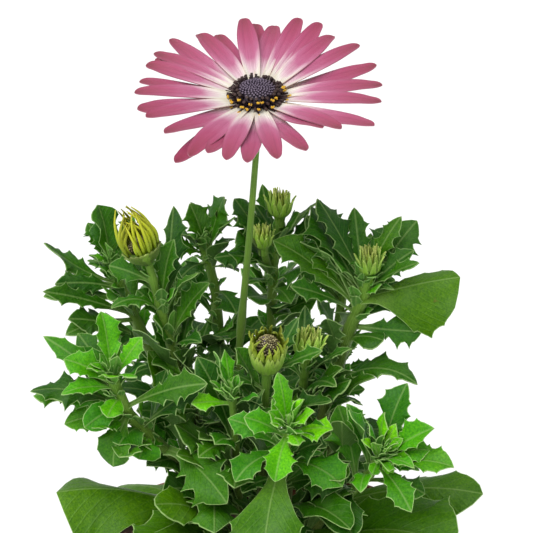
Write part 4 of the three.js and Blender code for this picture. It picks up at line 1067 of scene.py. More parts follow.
# %% Shape a body turned about an axis
def spun(name, profile, steps, size=1.0, merge=1e-4):
    """A closed mesh spun from (radius, height) points that start and end on the axis."""
    bm = bmesh.new()
    points = [bm.verts.new((r * size, 0, z * size)) for r, z in profile]
    line = [bm.edges.new(pair) for pair in zip(points, points[1:])]
    bmesh.ops.spin(
        bm, geom=points + line, cent=(0, 0, 0), axis=(0, 0, 1), angle=2 * math.pi, steps=steps, use_merge=True
    )
    bmesh.ops.remove_doubles(bm, verts=bm.verts, dist=merge)
    bmesh.ops.recalc_face_normals(bm, faces=bm.faces)
    for face in bm.faces:
        face.smooth = True
    put_in_order(bm)
    return mesh_of(bm, name)


def spun_copy(profile, sides=24, tint=0.5):
    """A spun body as a copy for grow(), with its marks."""
    body = spun("spun", profile, sides)
    places = corners_of(body)
    heights = places[:, 2]
    rise = (heights - heights.min()) / max(np.ptp(heights), 1e-6)
    across = np.arctan2(places[:, 1], places[:, 0]) / math.pi
    marks = dict(
        share=np.stack([across, rise, np.full(len(rise), tint)], -1),
        blade=np.stack([across, rise, np.zeros(len(rise))], -1),
    )
    return body, places, marks


print("a spun bud heart has", len(spun_copy([(0, 0), (2, 1), (0, 3)])[0].polygons), "faces")

# %% [markdown]
# ## Green buds and cups
# A closed bud is a cup of overlapping green bracts, each a narrow pointed scale whose tip turns outwards.
# The inner row is longer and closes over the flower. A cup under an open flower has the same bracts,
# flared. Under both lies a plain spun heart, so that no gap opens between the scales.

# %% Shape bracts, green buds and cups
BRACT = flat_sheet(4, 9)
BRACT_THICK = 0.4


def bract_ring(count, first, radius, height, half, roll, draw, tint=0.8):
    """Bracts set evenly round the axis."""
    ring = []
    for i in range(count):
        turn = first + 360 * i / count + 5 * draw()
        size = 1 + 0.06 * draw()
        reach = [radius[0]] + [r * (1 + 0.03 * draw()) for r in radius[1:]]
        rise = [h * size for h in height]
        ring.append(petal_copy(BRACT, turn, reach, rise, half, roll, BRACT_THICK, tint=tint + 0.18 * draw()))
    return ring


SPIKE = flat_sheet(3, 6)
SPIKE_HALF = (0.5, 0.62, 0.42, 0.06)
SPIKE_ROLL = (60, 100, 110, 60)


def spikes(count, foot_r, tip_r, low, high, tint, draw):
    """The furled tips of a bud's young rays, marked by a tint over 1."""
    ring = []
    for i in range(count):
        inner = i % 2
        reach = tip_r * (0.55 if inner else 1.0) * (1 + 0.2 * draw())
        top = low + (high - low) * (1 + 0.14 * draw() - 0.06 * inner)
        radius = (foot_r * 0.8, foot_r, (foot_r + reach) / 2, reach)
        height = [low + (top - low) * share for share in (0, 0.35, 0.7, 1)]
        ring.append(petal_copy(
            SPIKE, 360 * i / count + 6 * draw(), radius, height, SPIKE_HALF, SPIKE_ROLL, 0.3,
            tint=1.1 + 0.68 * tint + (0.06 + 0.2 * tint) * draw(), aside=0.8 * draw(),
        ))
    return ring


SEAT = -1.5  # buds and cups reach down into their stalk


def green_bud(r, h, tint, draw):
    """A closed bud of radius r and height h."""
    profile = [
        (0, SEAT), (1.3, SEAT), (1.4, h * 0.18), (r * 0.66, h * 0.34), (r * 0.72, h * 0.5), (0, h * 0.6),
    ]
    outer = bract_ring(
        9, 10, (1.3, 1.5, r * 0.86, r * 0.98, r * 1.10, r * 1.34),
        (SEAT, h * 0.16, h * 0.34, h * 0.54, h * 0.72, h * 0.86),
        (0.8, 0.9, r * 0.30, r * 0.2, r * 0.12, 0.08), (20, 26, 26, 20, 12, 6), draw, tint=tint,
    )
    inner = bract_ring(
        9, 30, (1.0, 1.3, r * 0.8, r * 0.84, r * 0.8, r * 0.86),
        (-1.2, h * 0.18, h * 0.44, h * 0.66, h * 0.84, h * 0.98),
        (0.8, 0.9, r * 0.32, r * 0.24, r * 0.13, 0.08), (20, 30, 30, 26, 16, 8), draw, tint=tint,
    )
    return [spun_copy(profile), *inner, *outer, *spikes(18, r * 0.58, r * 0.6, h * 0.4, h * 1.1, tint, draw)]


def green_cup(r, h, foot, flare, tip_rise, tint, draw):
    """Two rings of bracts that flare under a flower."""
    profile = [(0, SEAT), (foot, SEAT), (r * 0.76, h * 0.4), (r * 0.86, h * 0.9), (0, h * 0.94)]
    heart = spun_copy(profile, tint=tint)
    heart[2]["blade"][:, 1] *= 0.3  # as dark as the foot of a bract
    rings = []
    for first, longer in ((0, 1.0), (18, 0.92)):
        rings += bract_ring(
            10, first, (foot, r * 0.8, r * 0.97, r * (1 + (flare - 1) * 0.45), r * flare * longer),
            (SEAT, h * 0.22, h * 0.62, h * 0.9, h + tip_rise * longer),
            (0.7, r * 0.3, r * 0.3, r * 0.2, 0.12), (16, 22, 20, 12, 6), draw, tint=tint,
        )
    return [heart, *rings]


print("faces of a bract and of a spike:", len(BRACT.polygons), len(SPIKE.polygons))

# %% Grow the green buds and cups
CUP_TOPS = (4.0, 8.6)  # heights of the cups of the two opening buds
# Share of the bud's radius, flare, rise of the tips and tint of each.
CUPS = ((0.8, 1.2, 0.2, 0.2), (0.88, 1.12, 2.2, 0.5))
CUP_FOOT = 1.4
BLOOM_CUP = (6.4, 5.2, 1.3, 1.24, 0.6, 0.25)  # radius, height, foot, flare, rise of the tips and tint
UNDER_BLOOM = 6.8  # from the daisy's centre down to its cup
SLIMMER = 0.8  # bracts bend out past the solid bud, so its body is slimmer
BUD_TINTS = (0.85, 0.85, 0.55, 0.85)

bud_copies = {}
for k, (owner, foot, direction, r, h, _) in enumerate(GREEN_BUDS):
    bud = green_bud(SLIMMER * r, h, BUD_TINTS[k], even_draws(400 + k))
    bud_copies.setdefault(owner, []).extend(stand(bud, foot, direction))
for k, (owner, foot, direction, r, _, _) in enumerate(OPEN_BUDS):
    share, *form = CUPS[k]
    cup = green_cup(r * share, CUP_TOPS[k], CUP_FOOT, *form, even_draws(410 + k))
    bud_copies.setdefault(owner, []).extend(stand(cup, foot, direction))
lean = (0, -math.sin(BLOOM_LEAN), math.cos(BLOOM_LEAN))
under_bloom = green_cup(*BLOOM_CUP, even_draws(420))
under_bloom = [(mesh, places - (0, 0, UNDER_BLOOM), marks) for mesh, places, marks in under_bloom]
bud_copies["flower_stalk"] = stand(under_bloom, BLOOM_CENTRE, lean)
bud_pieces = {owner: grow(f"bracts_{owner}", copies) for owner, copies in bud_copies.items()}
print("bract pieces:", len(bud_pieces))

# %% [markdown]
# ## The opening buds
# In an opening bud the rays are still furled, margin to margin, so that each looks like a thin yellowish
# horn, and the horns lean together over the dark disc. One bud is nearly shut and the other has opened far
# enough to show its florets, so their rays differ in length and in how far they close.

# %% Shape furled rays and the heart of a bud
HORN = flat_sheet(6, 12)
FLORET_ROD = straight_rod(6, 4)
HEART_FLORETS = 110


def furled_rays(low, r, length, close, count, wide, roll, depth, gap, green, loose, draw):
    """Rays in three rows, the inner ones nearer the middle by depth, with none inside the gap of turns."""
    horns = []
    for i in range(count):
        inner = depth * (i % 3) / 2
        turn = 360 * i / count + 6 * draw()
        size = length * (1.0 - 0.08 * inner + loose * 0.3 * draw())
        shut = r * (1 - close) * (1.15 - 0.7 * inner + (0.2 + loose) * draw())
        middle = r * (1.0 - 0.24 * inner)
        radius = (r * (0.84 - 0.2 * inner), middle, middle * 0.96, (middle + shut) / 2 + 0.3, shut)
        height = [low - 0.6 + size * share for share in (0, 0.26, 0.5, 0.76, 1)]
        half = [r * wide * k for k in (0.6, 1, 0.95, 0.62, 0.08)]
        rolls = [roll * k for k in (0.5, 0.85, 1, 0.9, 0.6)]
        horn = petal_copy(
            HORN, turn, radius, height, half, rolls, 0.28,
            tint=green + 0.5 + 0.45 * draw(), aside=r * (0.2 + 0.3 * loose) * draw(),
        )
        if not gap[0] < turn < gap[1]:
            horns.append(horn)
    return horns


def bud_heart(low, wide, dome, draw):
    """A dark dome with the tips of its florets standing on it."""
    low -= 0.3
    profile = ((0, 0), (wide, 0), (wide * 0.98, 0.4), (wide * 0.7, 0.78), (0, 1))
    copies = [spun_copy([(r, low + dome * rise) for r, rise in profile], tint=1.2)]
    for i in range(HEART_FLORETS):
        share = (i + 0.5) / HEART_FLORETS
        r = wide * 0.97 * math.sqrt(share)
        turn = math.radians(GOLDEN * i)
        z = low + dome - 0.62 * dome * share**1.6
        foot = np.array([r * math.cos(turn), r * math.sin(turn), z - 0.5])
        out = np.array([math.cos(turn), math.sin(turn), 0]) * share * 0.5
        tip = foot + out + (0, 0, 0.95 + 0.15 * draw())
        line = [foot, (foot + tip) / 2, tip]
        seed, places, marks = rod_copy(FLORET_ROD, line, (0.2, 0.27), 0, (), 1.5 + 0.5 * draw())
        cream = 0.6 * float(draw() > 0)
        place = np.stack([marks["share"][:, 1] ** 6 * cream, marks["share"][:, 1], np.zeros(len(places))], -1)
        copies.append((seed, places, marks | dict(blade=place)))
    return copies


print("faces of a furled ray:", len(HORN.polygons))

# %% Grow the opening buds
RAY_ENDS = (3.6, 9.2)  # height above each bud's foot from which its rays' length is counted
# How each opening bud is furled: rays, half width as a share of its radius, roll, depth, gap, 1 where still
# green, and how loosely they stand.
FURLS = ((36, 0.145, 110, 1.0, (216, 246), 0, 0.8), (26, 0.19, 100, 0.25, (0, 0), 1, 0.3))
HEARTS = ((3.6, 3.4), (3.4, 5.2))  # radius and height of their domes
ray_pieces = {}
disc_pieces = {}
for k, (owner, foot, direction, r, length, close) in enumerate(OPEN_BUDS):
    draw = even_draws(430 + k)
    horns = furled_rays(CUP_TOPS[k], 0.93 * r, length + RAY_ENDS[k] - CUP_TOPS[k], close, *FURLS[k], draw)
    ray_pieces[f"{owner}_rays"] = grow(f"furled_{owner}", stand(horns, foot, direction))
    heart = bud_heart(CUP_TOPS[k], *HEARTS[k], draw)
    disc_pieces[f"{owner}_disc"] = grow(f"heart_{owner}", stand(heart, foot, direction))
print("opening buds:", [len(piece.data.polygons) for piece in ray_pieces.values()], "faces of rays")

# %% [markdown]
# ## The open daisy
# Some thirty rays lie in two layers round the disc. A ray is a long strap, narrow where it leaves the disc
# and widest past its middle, with shallow grooves along it and a blunt, rounded tip. No two lie alike: each
# has its own rise, twist and sideways bend, and one near the front hangs down.

# %% Grow the rays
RAY = flat_sheet(10, 24)
for corner in RAY.vertices:
    corner.co.y = 1 - (1 - corner.co.y) ** 1.5  # closer rows at the round tip
# Shares of the half width from the foot to the tip.
RAY_OUTLINE = (0.44, 0.56, 0.66, 0.75, 0.82, 0.86, 0.87, 0.83, 0.73, 0.57, 0.38)

# Of a ray in the lower and in the upper layer: rise at its root, more at its tip, and of its arch.
LAYERS = ((-0.4, -0.6, 0.32), (0.1, 0.6, 1.6))

rays = []
draw = even_draws(440)
shares = np.linspace(0, 1, 11)
for turn, tip, rise, layer in RAYS:
    start, more, arch = LAYERS[layer]
    end = rise + more
    radius = [RAY_ROOT + (tip + 0.5 - RAY_ROOT) * s for s in shares]
    height = [start + (end - start) * s + arch * math.sin(math.pi * s) for s in shares]
    height[-1] -= 0.5 * draw()
    wide = RAY_WIDTH / 2 * (1 + 0.06 * draw())
    half = [wide * share for share in RAY_OUTLINE]
    roll = (60, 40, 26, 18, 14, 12, 12, 14, 18, 24 + 10 * draw(), 30)
    rays.append(petal_copy(
        RAY, turn, radius, height, half, roll, 0.28, tint=0.5 + 0.5 * draw(), grooves=0.1,
        twist=9 * draw(), aside=draw(), warp=0.05, blunt=0.07,
    ))
ray_pieces["bloom_rays"] = grow("rays_bloom", stand(rays, BLOOM_CENTRE, lean))
print("rays:", len(rays), "faces:", len(ray_pieces["bloom_rays"].data.polygons))

# %% Shape the florets of the disc
CLOSED_FLORETS = 140
CLOSED_RADIUS = 5.3
DOME_TOP = 5.2
# Rows of open florets: how many, radius and height of their feet, radius and height of their tips.
OPEN_ROWS = (
    (24, 5.2, 2.6, 6.3, 5.0), (28, 5.8, 1.8, 7.5, 3.9), (30, 6.2, 1.0, 8.6, 2.5), (30, 6.3, 0.4, 9.5, 1.0),
)
DOME = ((0, -0.95), (5.2, -0.95), (5.7, 0.6), (5.9, 1.6), (5.3, 2.9), (4.2, 3.8), (2.4, 4.4), (0, 4.7))
DOME_STEPS = 28
POLLEN_RADIUS = 7.9  # only florets that lean further out than this carry pollen
POLLEN_TURNS = (-2.9, 0.8)  # and only on the sunny side, between these turns


def floret_lines():
    """Foot, tip, radii and openness of the closed florets, and of the open ones that lean out round them."""
    lines = []
    draw = even_draws(450)
    for i in range(CLOSED_FLORETS):
        share = (i + 0.5) / CLOSED_FLORETS
        r = CLOSED_RADIUS * math.sqrt(share)
        turn = math.radians(GOLDEN * i)
        z = DOME_TOP - 1.3 * share**2
        out = np.array([math.cos(turn), math.sin(turn), 0])
        foot = out * r * 0.94 + (0, 0, z - 1.2)
        tip = out * (r + 0.35 * share) + (0, 0, z + 0.15 * draw())
        lines.append((foot, tip, (0.28, 0.25 + 0.08 * share), 0.3 * share**3))
    for count, foot_r, foot_z, tip_r, tip_z in OPEN_ROWS:
        for i in range(count):
            turn = 2 * math.pi * (i + 0.4 * draw()) / count
            out = np.array([math.cos(turn), math.sin(turn), 0])
            lower = max(0, -math.sin(turn))
            foot = out * foot_r + (0, 0, foot_z)
            tip = out * (tip_r + 0.7 * lower + 0.4 * draw()) + (0, 0, tip_z - 0.4 * lower + 0.4 * draw())
            lines.append((foot, tip, (0.34, 0.46), 1.0))
    return lines


def place_floret(foot, tip, radii, openness, rod, draw):
    """One floret, bent up in its middle where it is open."""
    middle = (foot + tip) / 2 + (0, 0, 0.3 * openness)
    seed, places, marks = rod_copy(rod, [foot, middle, tip], radii, 0, (), 0.5 + 0.5 * draw())
    place = np.stack([np.zeros(len(places)), marks["share"][:, 1], np.full(len(places), openness)], -1)
    return seed, places, marks | dict(blade=place)


def small_ball(name, smooth):
    bm = bmesh.new()
    bmesh.ops.create_icosphere(bm, subdivisions=1, radius=1)
    for face in bm.faces:
        face.smooth = smooth
    return mesh_of(bm, name)


def pollen_grains(tip, draw):
    """A few grains in a cluster on a floret's tip."""
    grains = []
    for _ in range(4):
        size = 0.35 + 0.07 * draw()
        places = corners_of(GRAIN) * size + tip + (0.4 * draw(), 0.4 * draw(), 0.2 + 0.25 * draw())
        share = np.full(places.shape, 0.5 + 0.5 * draw())
        grains.append((GRAIN, places, dict(share=share, blade=np.tile((1.0, 0.5, 1.0), (len(places), 1)))))
    return grains


print("florets:", len(floret_lines()))

# %% Grow the disc
GRAIN = small_ball("grain", True)
draw = even_draws(451)
disc = [spun_copy(DOME, DOME_STEPS)]
disc[0][2]["blade"][:] = (0, 0.4, 0.5)
for line in floret_lines():
    disc.append(place_floret(*line, FLORET_ROD, draw))
    _, tip, _, openness = line
    sunny = POLLEN_TURNS[0] < math.atan2(tip[1], tip[0]) < POLLEN_TURNS[1]
    if openness == 1 and np.hypot(*tip[:2]) > POLLEN_RADIUS and sunny and draw() > -0.35:
        disc += pollen_grains(tip, draw)
disc_pieces["bloom_disc"] = grow("disc_bloom", stand(disc, BLOOM_CENTRE, lean))
print("florets and grains of pollen:", len(disc) - 1)

# %% [markdown]
# ## The pot
# A nursery pot is moulded from thin plastic: a tapering wall, a collar that stands out at the top so that
# pots can be lifted and stacked, a rounded lip, and drain holes in its floor. Its profile, with the round
# lip and a chamfered shoulder, is spun round the axis in many steps, and five plain drills cut the drains.

# %% Spin the pot
POT_STEPS = 96
MERGE = 1e-6  # metres within which a spun outline closes
POT = dict(rim=57, foot=42, height=88, wall=1.6, floor=2, collar=14, step=2.2, draft=0.6)
DRAINS = 5
DRAIN_RADIUS = 4
DRAIN_CIRCLE = 27
HOLLOW = 1.2  # the floor is sunk by this much between the middle and a ring to stand on
RING = (9, 7)  # how far inside the foot the ring's inner slope starts and ends

skirt = POT["rim"] - POT["draft"]
neck = skirt - POT["step"]
shoulder = POT["height"] - POT["collar"]
wall, floor = POT["wall"], POT["floor"]
lip_round = wall / 2
lip_r, lip_z = POT["rim"] - lip_round, POT["height"] - lip_round
turning = np.linspace(0, math.pi, 7)
lip = [(lip_r + lip_round * math.cos(a), lip_z + lip_round * math.sin(a)) for a in turning]
pot_profile = [
    (0, HOLLOW), (POT["foot"] - RING[0], HOLLOW), (POT["foot"] - RING[1], 0), (POT["foot"] - 1, 0),
    (POT["foot"], 0.8),
    (neck - 0.2, shoulder - 0.6), (neck, shoulder - 0.1), (skirt - 0.5, shoulder), (skirt, shoulder + 0.5),
    *lip, (skirt - wall, shoulder + wall), (neck - wall, shoulder), (POT["foot"] - wall, floor), (0, floor),
]
pot = show("pot_plain", spun("pot_plain", pot_profile, POT_STEPS, MM, MERGE))

bm = bmesh.new()
for i in range(DRAINS):
    turn = 2 * math.pi * i / DRAINS
    at = Matrix.Translation((DRAIN_CIRCLE * MM * math.cos(turn), DRAIN_CIRCLE * MM * math.sin(turn), 0))
    radius = DRAIN_RADIUS * MM
    bmesh.ops.create_cone(
        bm, cap_ends=True, segments=32, radius1=radius, radius2=radius, depth=8 * floor * MM, matrix=at
    )
drills = show("drills", mesh_of(bm, "drills"))
cut = pot.modifiers.new("drains", "BOOLEAN")
cut.object = drills
cut.operation = "DIFFERENCE"
cut.solver = "EXACT"
shaped = bpy.data.meshes.new_from_object(pot.evaluated_get(bpy.context.evaluated_depsgraph_get()))
pot.modifiers.clear()
pot.data = shaped
bpy.data.objects.remove(drills)
for face in pot.data.polygons:
    face.use_smooth = True
pot.data.set_sharp_from_angle(angle=math.radians(35))
print("pot faces:", len(pot.data.polygons))

# %% [markdown]
# ## The compost
# Potting compost is a loose, dark, fibrous mix: its top is uneven, with crumbs of bark and peat and a few
# pale grains lying on it. The body is spun like the pot, its top is raised and sunk by noise, and crumbs of
# a few faces each, squashed and turned, are strewn over it.

# %% Spin the compost and strew its crumbs
SOIL_STEPS = 120
SOIL_TOP = 80
SOIL_GAP = 0.4
SEAT_GAP = 0.3
LUMPS = ((9, 1.5), (2.6, 0.7), (1.1, 0.3))  # size across and height
wide = skirt - wall - SOIL_GAP
narrow = POT["foot"] - wall - SOIL_GAP
base = floor + SEAT_GAP
soil_profile = [
    (0, base), (narrow, base), (wide - POT["step"], shoulder - SOIL_GAP), (wide, shoulder + wall + SOIL_GAP),
    *((wide * share, SOIL_TOP) for share in np.linspace(1, 0, 30)),
]
compost = show("compost_bed", spun("compost_bed", soil_profile, SOIL_STEPS, MM, MERGE))
for corner in compost.data.vertices:
    place = corner.co / MM
    if place.z > SOIL_TOP - 0.1:
        lump = sum(noise.noise(place / across) * height for across, height in LUMPS)
        corner.co.z += (lump - 0.5) * MM

CRUMB = small_ball("crumb", False)
CRUMBS = 520
draw = even_draws(460)
crumbs = []
ball = corners_of(CRUMB)
for i in range(CRUMBS):
    r = (wide - 2) * math.sqrt((i + 0.5) / CRUMBS)
    turn = math.radians(GOLDEN * i) + 0.4 * draw()
    size = 0.55 + 0.5 * (0.5 + 0.5 * draw()) ** 2 * 2.2
    stretch = np.array([1 + 0.5 * draw(), 0.7 + 0.2 * draw(), 0.5 + 0.2 * draw()]) * size
    rough = 1 + 0.18 * np.array([draw() for _ in ball])
    spin = np.array(Matrix.Rotation(3 * draw(), 3, "Z") @ Matrix.Rotation(0.5 * draw(), 3, "X"))
    at = (r * math.cos(turn), r * math.sin(turn), SOIL_TOP + 0.1)
    places = (ball * rough[:, None] * stretch) @ spin.T + at
    crumbs.append((CRUMB, places, dict(share=np.full((len(ball), 3), 0.5 + 0.5 * draw()))))
crumb_piece = grow("compost_crumbs", crumbs)
print("crumbs:", CRUMBS)

# %% [markdown]
# ## Building finishes from nodes
# Every finish is a small network of nodes. A node's output is wrapped, so that it can be added, subtracted
# and multiplied like a number, and each such sum becomes a node. A few short helpers mix colours by a mask
# and run through a row of shades. Colours are written as they look on a screen, from 0 to 255, and turned
# into the linear light that the shader wants.

# %% Define the node helpers
class Output:
    """A node's output, which can be reckoned with like a number."""

    def __init__(self, socket):
        self.socket = socket
        self.tree = socket.id_data

    def __add__(self, other):
        return maths("ADD", self, other)

    def __mul__(self, other):
        return maths("MULTIPLY", self, other)

    def __sub__(self, other):
        return maths("SUBTRACT", self, other)

    def __rsub__(self, other):
        return maths("SUBTRACT", other, self)

    def __truediv__(self, other):
        return maths("DIVIDE", self, other)

    def __abs__(self):
        return maths("ABSOLUTE", self, 0.0)


def put(kind, inputs, out=0, **settings):
    """Add a node to the tree of its inputs, set or link them, and return one of its outputs."""
    tree = next(value.tree for value in inputs.values() if isinstance(value, Output))
    node = tree.nodes.new("ShaderNode" + kind)
    for key, value in settings.items():
        setattr(node, key, value)
    for key, value in inputs.items():
        if isinstance(value, Output):
            tree.links.new(value.socket, node.inputs[key])
        else:
            node.inputs[key].default_value = value
    return Output(node.outputs[out])


def maths(operation, a, b):
    return put("Math", {0: a, 1: b}, operation=operation)


def fraction(value):
    return maths("FRACT", value, 0.0)


def feed(node, name, value):
    """Link a value to a node's input."""
    value.tree.links.new(value.socket, node.inputs[name])


def screen(red, green, blue):
    """A screen colour as linear light."""
    linear = [v / 255 / 12.92 if v <= 10 else ((v / 255 + 0.055) / 1.055) ** 2.4 for v in (red, green, blue)]
    return (*linear, 1)


def blend(mask, a, b):
    return put("Mix", {0: mask, 6: a, 7: b}, out=2, data_type="RGBA")


def paint(base, mask, strength, *colour):
    """A screen colour laid over the base where the mask is, at a strength."""
    return blend(mask * strength, base, screen(*colour))


def clouds(place, scale, detail, **more):
    return put("TexNoise", {"Vector": place, "Scale": scale, "Detail": detail, **more})


def rises(value, low, high):
    """0 below low, 1 above high, or the other way round when low is the larger."""
    return put("MapRange", {0: value, 1: low, 2: high, 3: 0.0, 4: 1.0}, interpolation_type="SMOOTHSTEP")


def shades(value, *stops):
    """A colour that runs through stops, each a place and a screen colour."""
    colour = put("ValToRGB", {0: value})
    ramp = colour.socket.node.color_ramp
    while len(ramp.elements) < len(stops):
        ramp.elements.new(0.5)
    for element, (place, *stop) in zip(ramp.elements, stops):
        element.position = place
        element.color = screen(*stop)
    return colour


def parts(vector):
    """The three numbers of a vector."""
    return [Output(number) for number in put("SeparateXYZ", {0: vector}).socket.node.outputs]


def marks_of(shader, name):
    """The three numbers that a piece's corners carry under a name."""
    node = shader.id_data.nodes.new("ShaderNodeAttribute")
    node.attribute_name = name
    return parts(Output(node.outputs["Vector"]))


def new_finish(name, roughness):
    """A material, its shader, and the place in space that its patterns read."""
    finish = bpy.data.materials.new(name)
    finish.use_nodes = True
    nodes = finish.node_tree.nodes
    nodes.clear()
    shader = nodes.new("ShaderNodeBsdfPrincipled")
    shader.inputs["Roughness"].default_value = roughness
    feed(nodes.new("ShaderNodeOutputMaterial"), "Surface", Output(shader.outputs[0]))
    return finish, shader, Output(nodes.new("ShaderNodeTexCoord").outputs["Object"])


def roughen(shader, height, strength, depth):
    """Low relief from a height, in metres."""
    feed(shader, "Normal", put("Bump", {"Height": height, "Strength": strength, "Distance": depth}))


print("mid grey as linear light:", round(screen(128, 128, 128)[0], 3))

# %% [markdown]
# ## Effects that many finishes share
# Hairs, uneven tone, veins, fine lines and dry brown spots occur on leaves, bracts, stems and petals alike.
# Each is a node group with named inputs, built once and given other values in each finish.

# %% Build the shared effects
def new_effect(name, result, kind, inputs):
    """An empty node group, what it is given, and the node that hands on its result."""
    group = bpy.data.node_groups.new(name, "ShaderNodeTree")
    for label, value in inputs.items():
        given_kind = value if isinstance(value, str) else "Float"
        socket = group.interface.new_socket(label, in_out="INPUT", socket_type="NodeSocket" + given_kind)
        if given_kind == "Float":
            socket.default_value = value
    group.interface.new_socket(result, in_out="OUTPUT", socket_type="NodeSocket" + kind)
    given = group.nodes.new("NodeGroupInput").outputs
    return group, {label: Output(given[label]) for label in inputs}, group.nodes.new("NodeGroupOutput")


fine_hairs, given, made = new_effect(
    "fine hairs", "Height", "Float", {"Position": "Vector", "Hairs per metre": 2600.0}
)
fleck = put("TexVoronoi", {"Vector": given["Position"], "Scale": given["Hairs per metre"]})
fuzz = clouds(given["Position"], given["Hairs per metre"], 2.0)
feed(made, "Height", fleck * -0.6 + fuzz)

uneven_tone, given, made = new_effect(
    "uneven tone", "Colour", "Color",
    {"Position": "Vector", "Colour": "Color", "Patches per metre": 90.0, "Amount": 0.2},
)
cloud = clouds(given["Position"], given["Patches per metre"], 4.0)
swing = (cloud - 0.5) * given["Amount"]
tone = {"Hue": swing * -0.1 + 0.5, "Value": swing * 3.0 + 1.0, "Color": given["Colour"]}
feed(made, "Colour", put("HueSaturation", tone))

side_veins, given, made = new_effect(
    "side veins", "Mask", "Float", {"Across": 0.0, "Along": 0.0, "Spacing": 2.4, "Slant": 1.1}
)
phase = (given["Along"] - abs(given["Across"]) * given["Slant"]) / given["Spacing"]
feed(made, "Mask", rises(abs(fraction(phase) - 0.5), 0.38, 0.48))

dry_spots, given, made = new_effect(
    "dry spots", "Mask", "Float", {"Position": "Vector", "Spots per metre": 70.0, "Amount": 0.2}
)
spot = clouds(given["Position"], given["Spots per metre"], 6.0)
limit = 0.78 - given["Amount"] * 0.3
feed(made, "Mask", put("MapRange", {0: spot, 1: limit, 2: limit + 0.04, 3: 0.0, 4: 1.0}))

long_lines, given, made = new_effect(
    "long lines", "Mask", "Float", {"Across": 0.0, "Along": 0.0, "Lines": 9.0}
)
spread = put("CombineXYZ", {0: given["Across"] * given["Lines"], 1: given["Along"] * 1.2})
feed(made, "Mask", rises(clouds(spread, 1.6, 2.0), 0.42, 0.66))


def apply_effect(group, inputs):
    return put("Group", inputs, node_tree=group)


def hairy(position, per_metre=2600.0):
    return apply_effect(fine_hairs, {"Position": position, "Hairs per metre": per_metre})


def uneven(position, colour, amount=0.2, patches=90.0):
    inputs = {"Position": position, "Colour": colour, "Patches per metre": patches, "Amount": amount}
    return apply_effect(uneven_tone, inputs)


def lined(across, along, count):
    return apply_effect(long_lines, {"Across": across, "Along": along, "Lines": count})


print("shared effects:", [group.name for group in bpy.data.node_groups])

# %% [markdown]
# ## The leaf
# A leaf is bright yellow-green while it unfolds and darkens as it ages. Its underside is paler and bluish,
# its midrib and side veins are lighter than the blade, and a thin pale line runs round its teeth, palest on
# the low leaves. The oldest leaves fade and dry out brown in spots. The blade's own numbers say where all
# that lies, so the pattern follows every bend, and the fine hairs are read from the place in space.

# %% Finish the leaves
leaf_finish, shader, position = new_finish("leaf", 0.5)
across, along, upper = marks_of(shader, "blade")
age, tint, margin = marks_of(shader, "growth")
_, share_along, length = marks_of(shader, "share")
green = shades(
    age, (0, 112, 207, 4), (0.2, 64, 160, 0), (0.5, 44, 106, 6), (0.78, 42, 98, 14), (1, 66, 112, 30)
)
green = put("HueSaturation", {
    "Hue": tint * -0.016 + 0.503, "Saturation": 1.24, "Value": tint * 0.6 + 0.69, "Color": green,
})
green = uneven(position, green, 0.22)
green = uneven(position, green, 0.42, 1500.0)
# Grey-green patches laid at random: partly a real grey haze on the blade, partly a painted sheen highlight.
dust = rises(clouds(position, 130.0, 6.0), 0.5, 0.72)
green = paint(green, dust, 0.22, 98, 136, 70)
stalk = rises(share_along, 0.42, 0.1)
green = paint(green, stalk, 0.36, 128, 158, 76)
green = paint(green, 1.0 - upper, 0.55, 104, 140, 74)
veins = apply_effect(side_veins, {"Across": across, "Along": along, "Spacing": length * 0.085})
green = paint(green, veins, 0.07, 130, 168, 84)
midrib = rises(abs(across), 0.45, 0.1)
green = paint(green, midrib, 0.36, 146, 180, 100)
low = rises(parts(position)[2], 0.19, 0.14)
rim = rises(margin, 0.26, 0.1) * (low * 0.26 + 0.42)
green = blend(rim, green, screen(176, 208, 130))
oldest = rises(age, 0.86, 1.0)
dry = apply_effect(dry_spots, {"Position": position, "Amount": oldest * 0.35})
green = blend(dry * (oldest * 0.9), green, screen(122, 84, 50))
feed(shader, "Base Color", green)
relief = (veins * -0.5 + midrib * -0.8) * (upper * 2.0 - 1.0)
hairs = hairy(position)
blisters = clouds(position, 240.0, 2.0)
roughen(shader, relief * 0.3 + hairs * 0.16 + blisters * 0.9, 0.6, 0.001)
feed(shader, "Roughness", hairs * 0.16 + 0.44)
shader.inputs["Specular IOR Level"].default_value = 0.24
print("leaf nodes:", len(leaf_finish.node_tree.nodes))

# %% [markdown]
# ## Stems and bracts
# The stems are paler and yellower than the leaves, ribbed with fine lines and browner where they leave the
# compost. The bracts have a green middle, a pale thin margin and a paler tip.

# %% Finish the stems and the bracts
stem_finish, shader, position = new_finish("stem", 0.55)
around, share_along, _ = marks_of(shader, "share")
green = shades(share_along, (0, 90, 72, 40), (0.2, 88, 98, 34), (0.5, 88, 124, 26), (1, 98, 148, 26))
lines = lined(around, share_along, 14.0)
green = paint(uneven(position, green), lines, 0.26, 150, 182, 76)
feed(shader, "Base Color", green)
roughen(shader, lines * 0.4 + hairy(position, 2200.0), 0.6, 0.0004)
shader.inputs["Sheen Weight"].default_value = 0.08

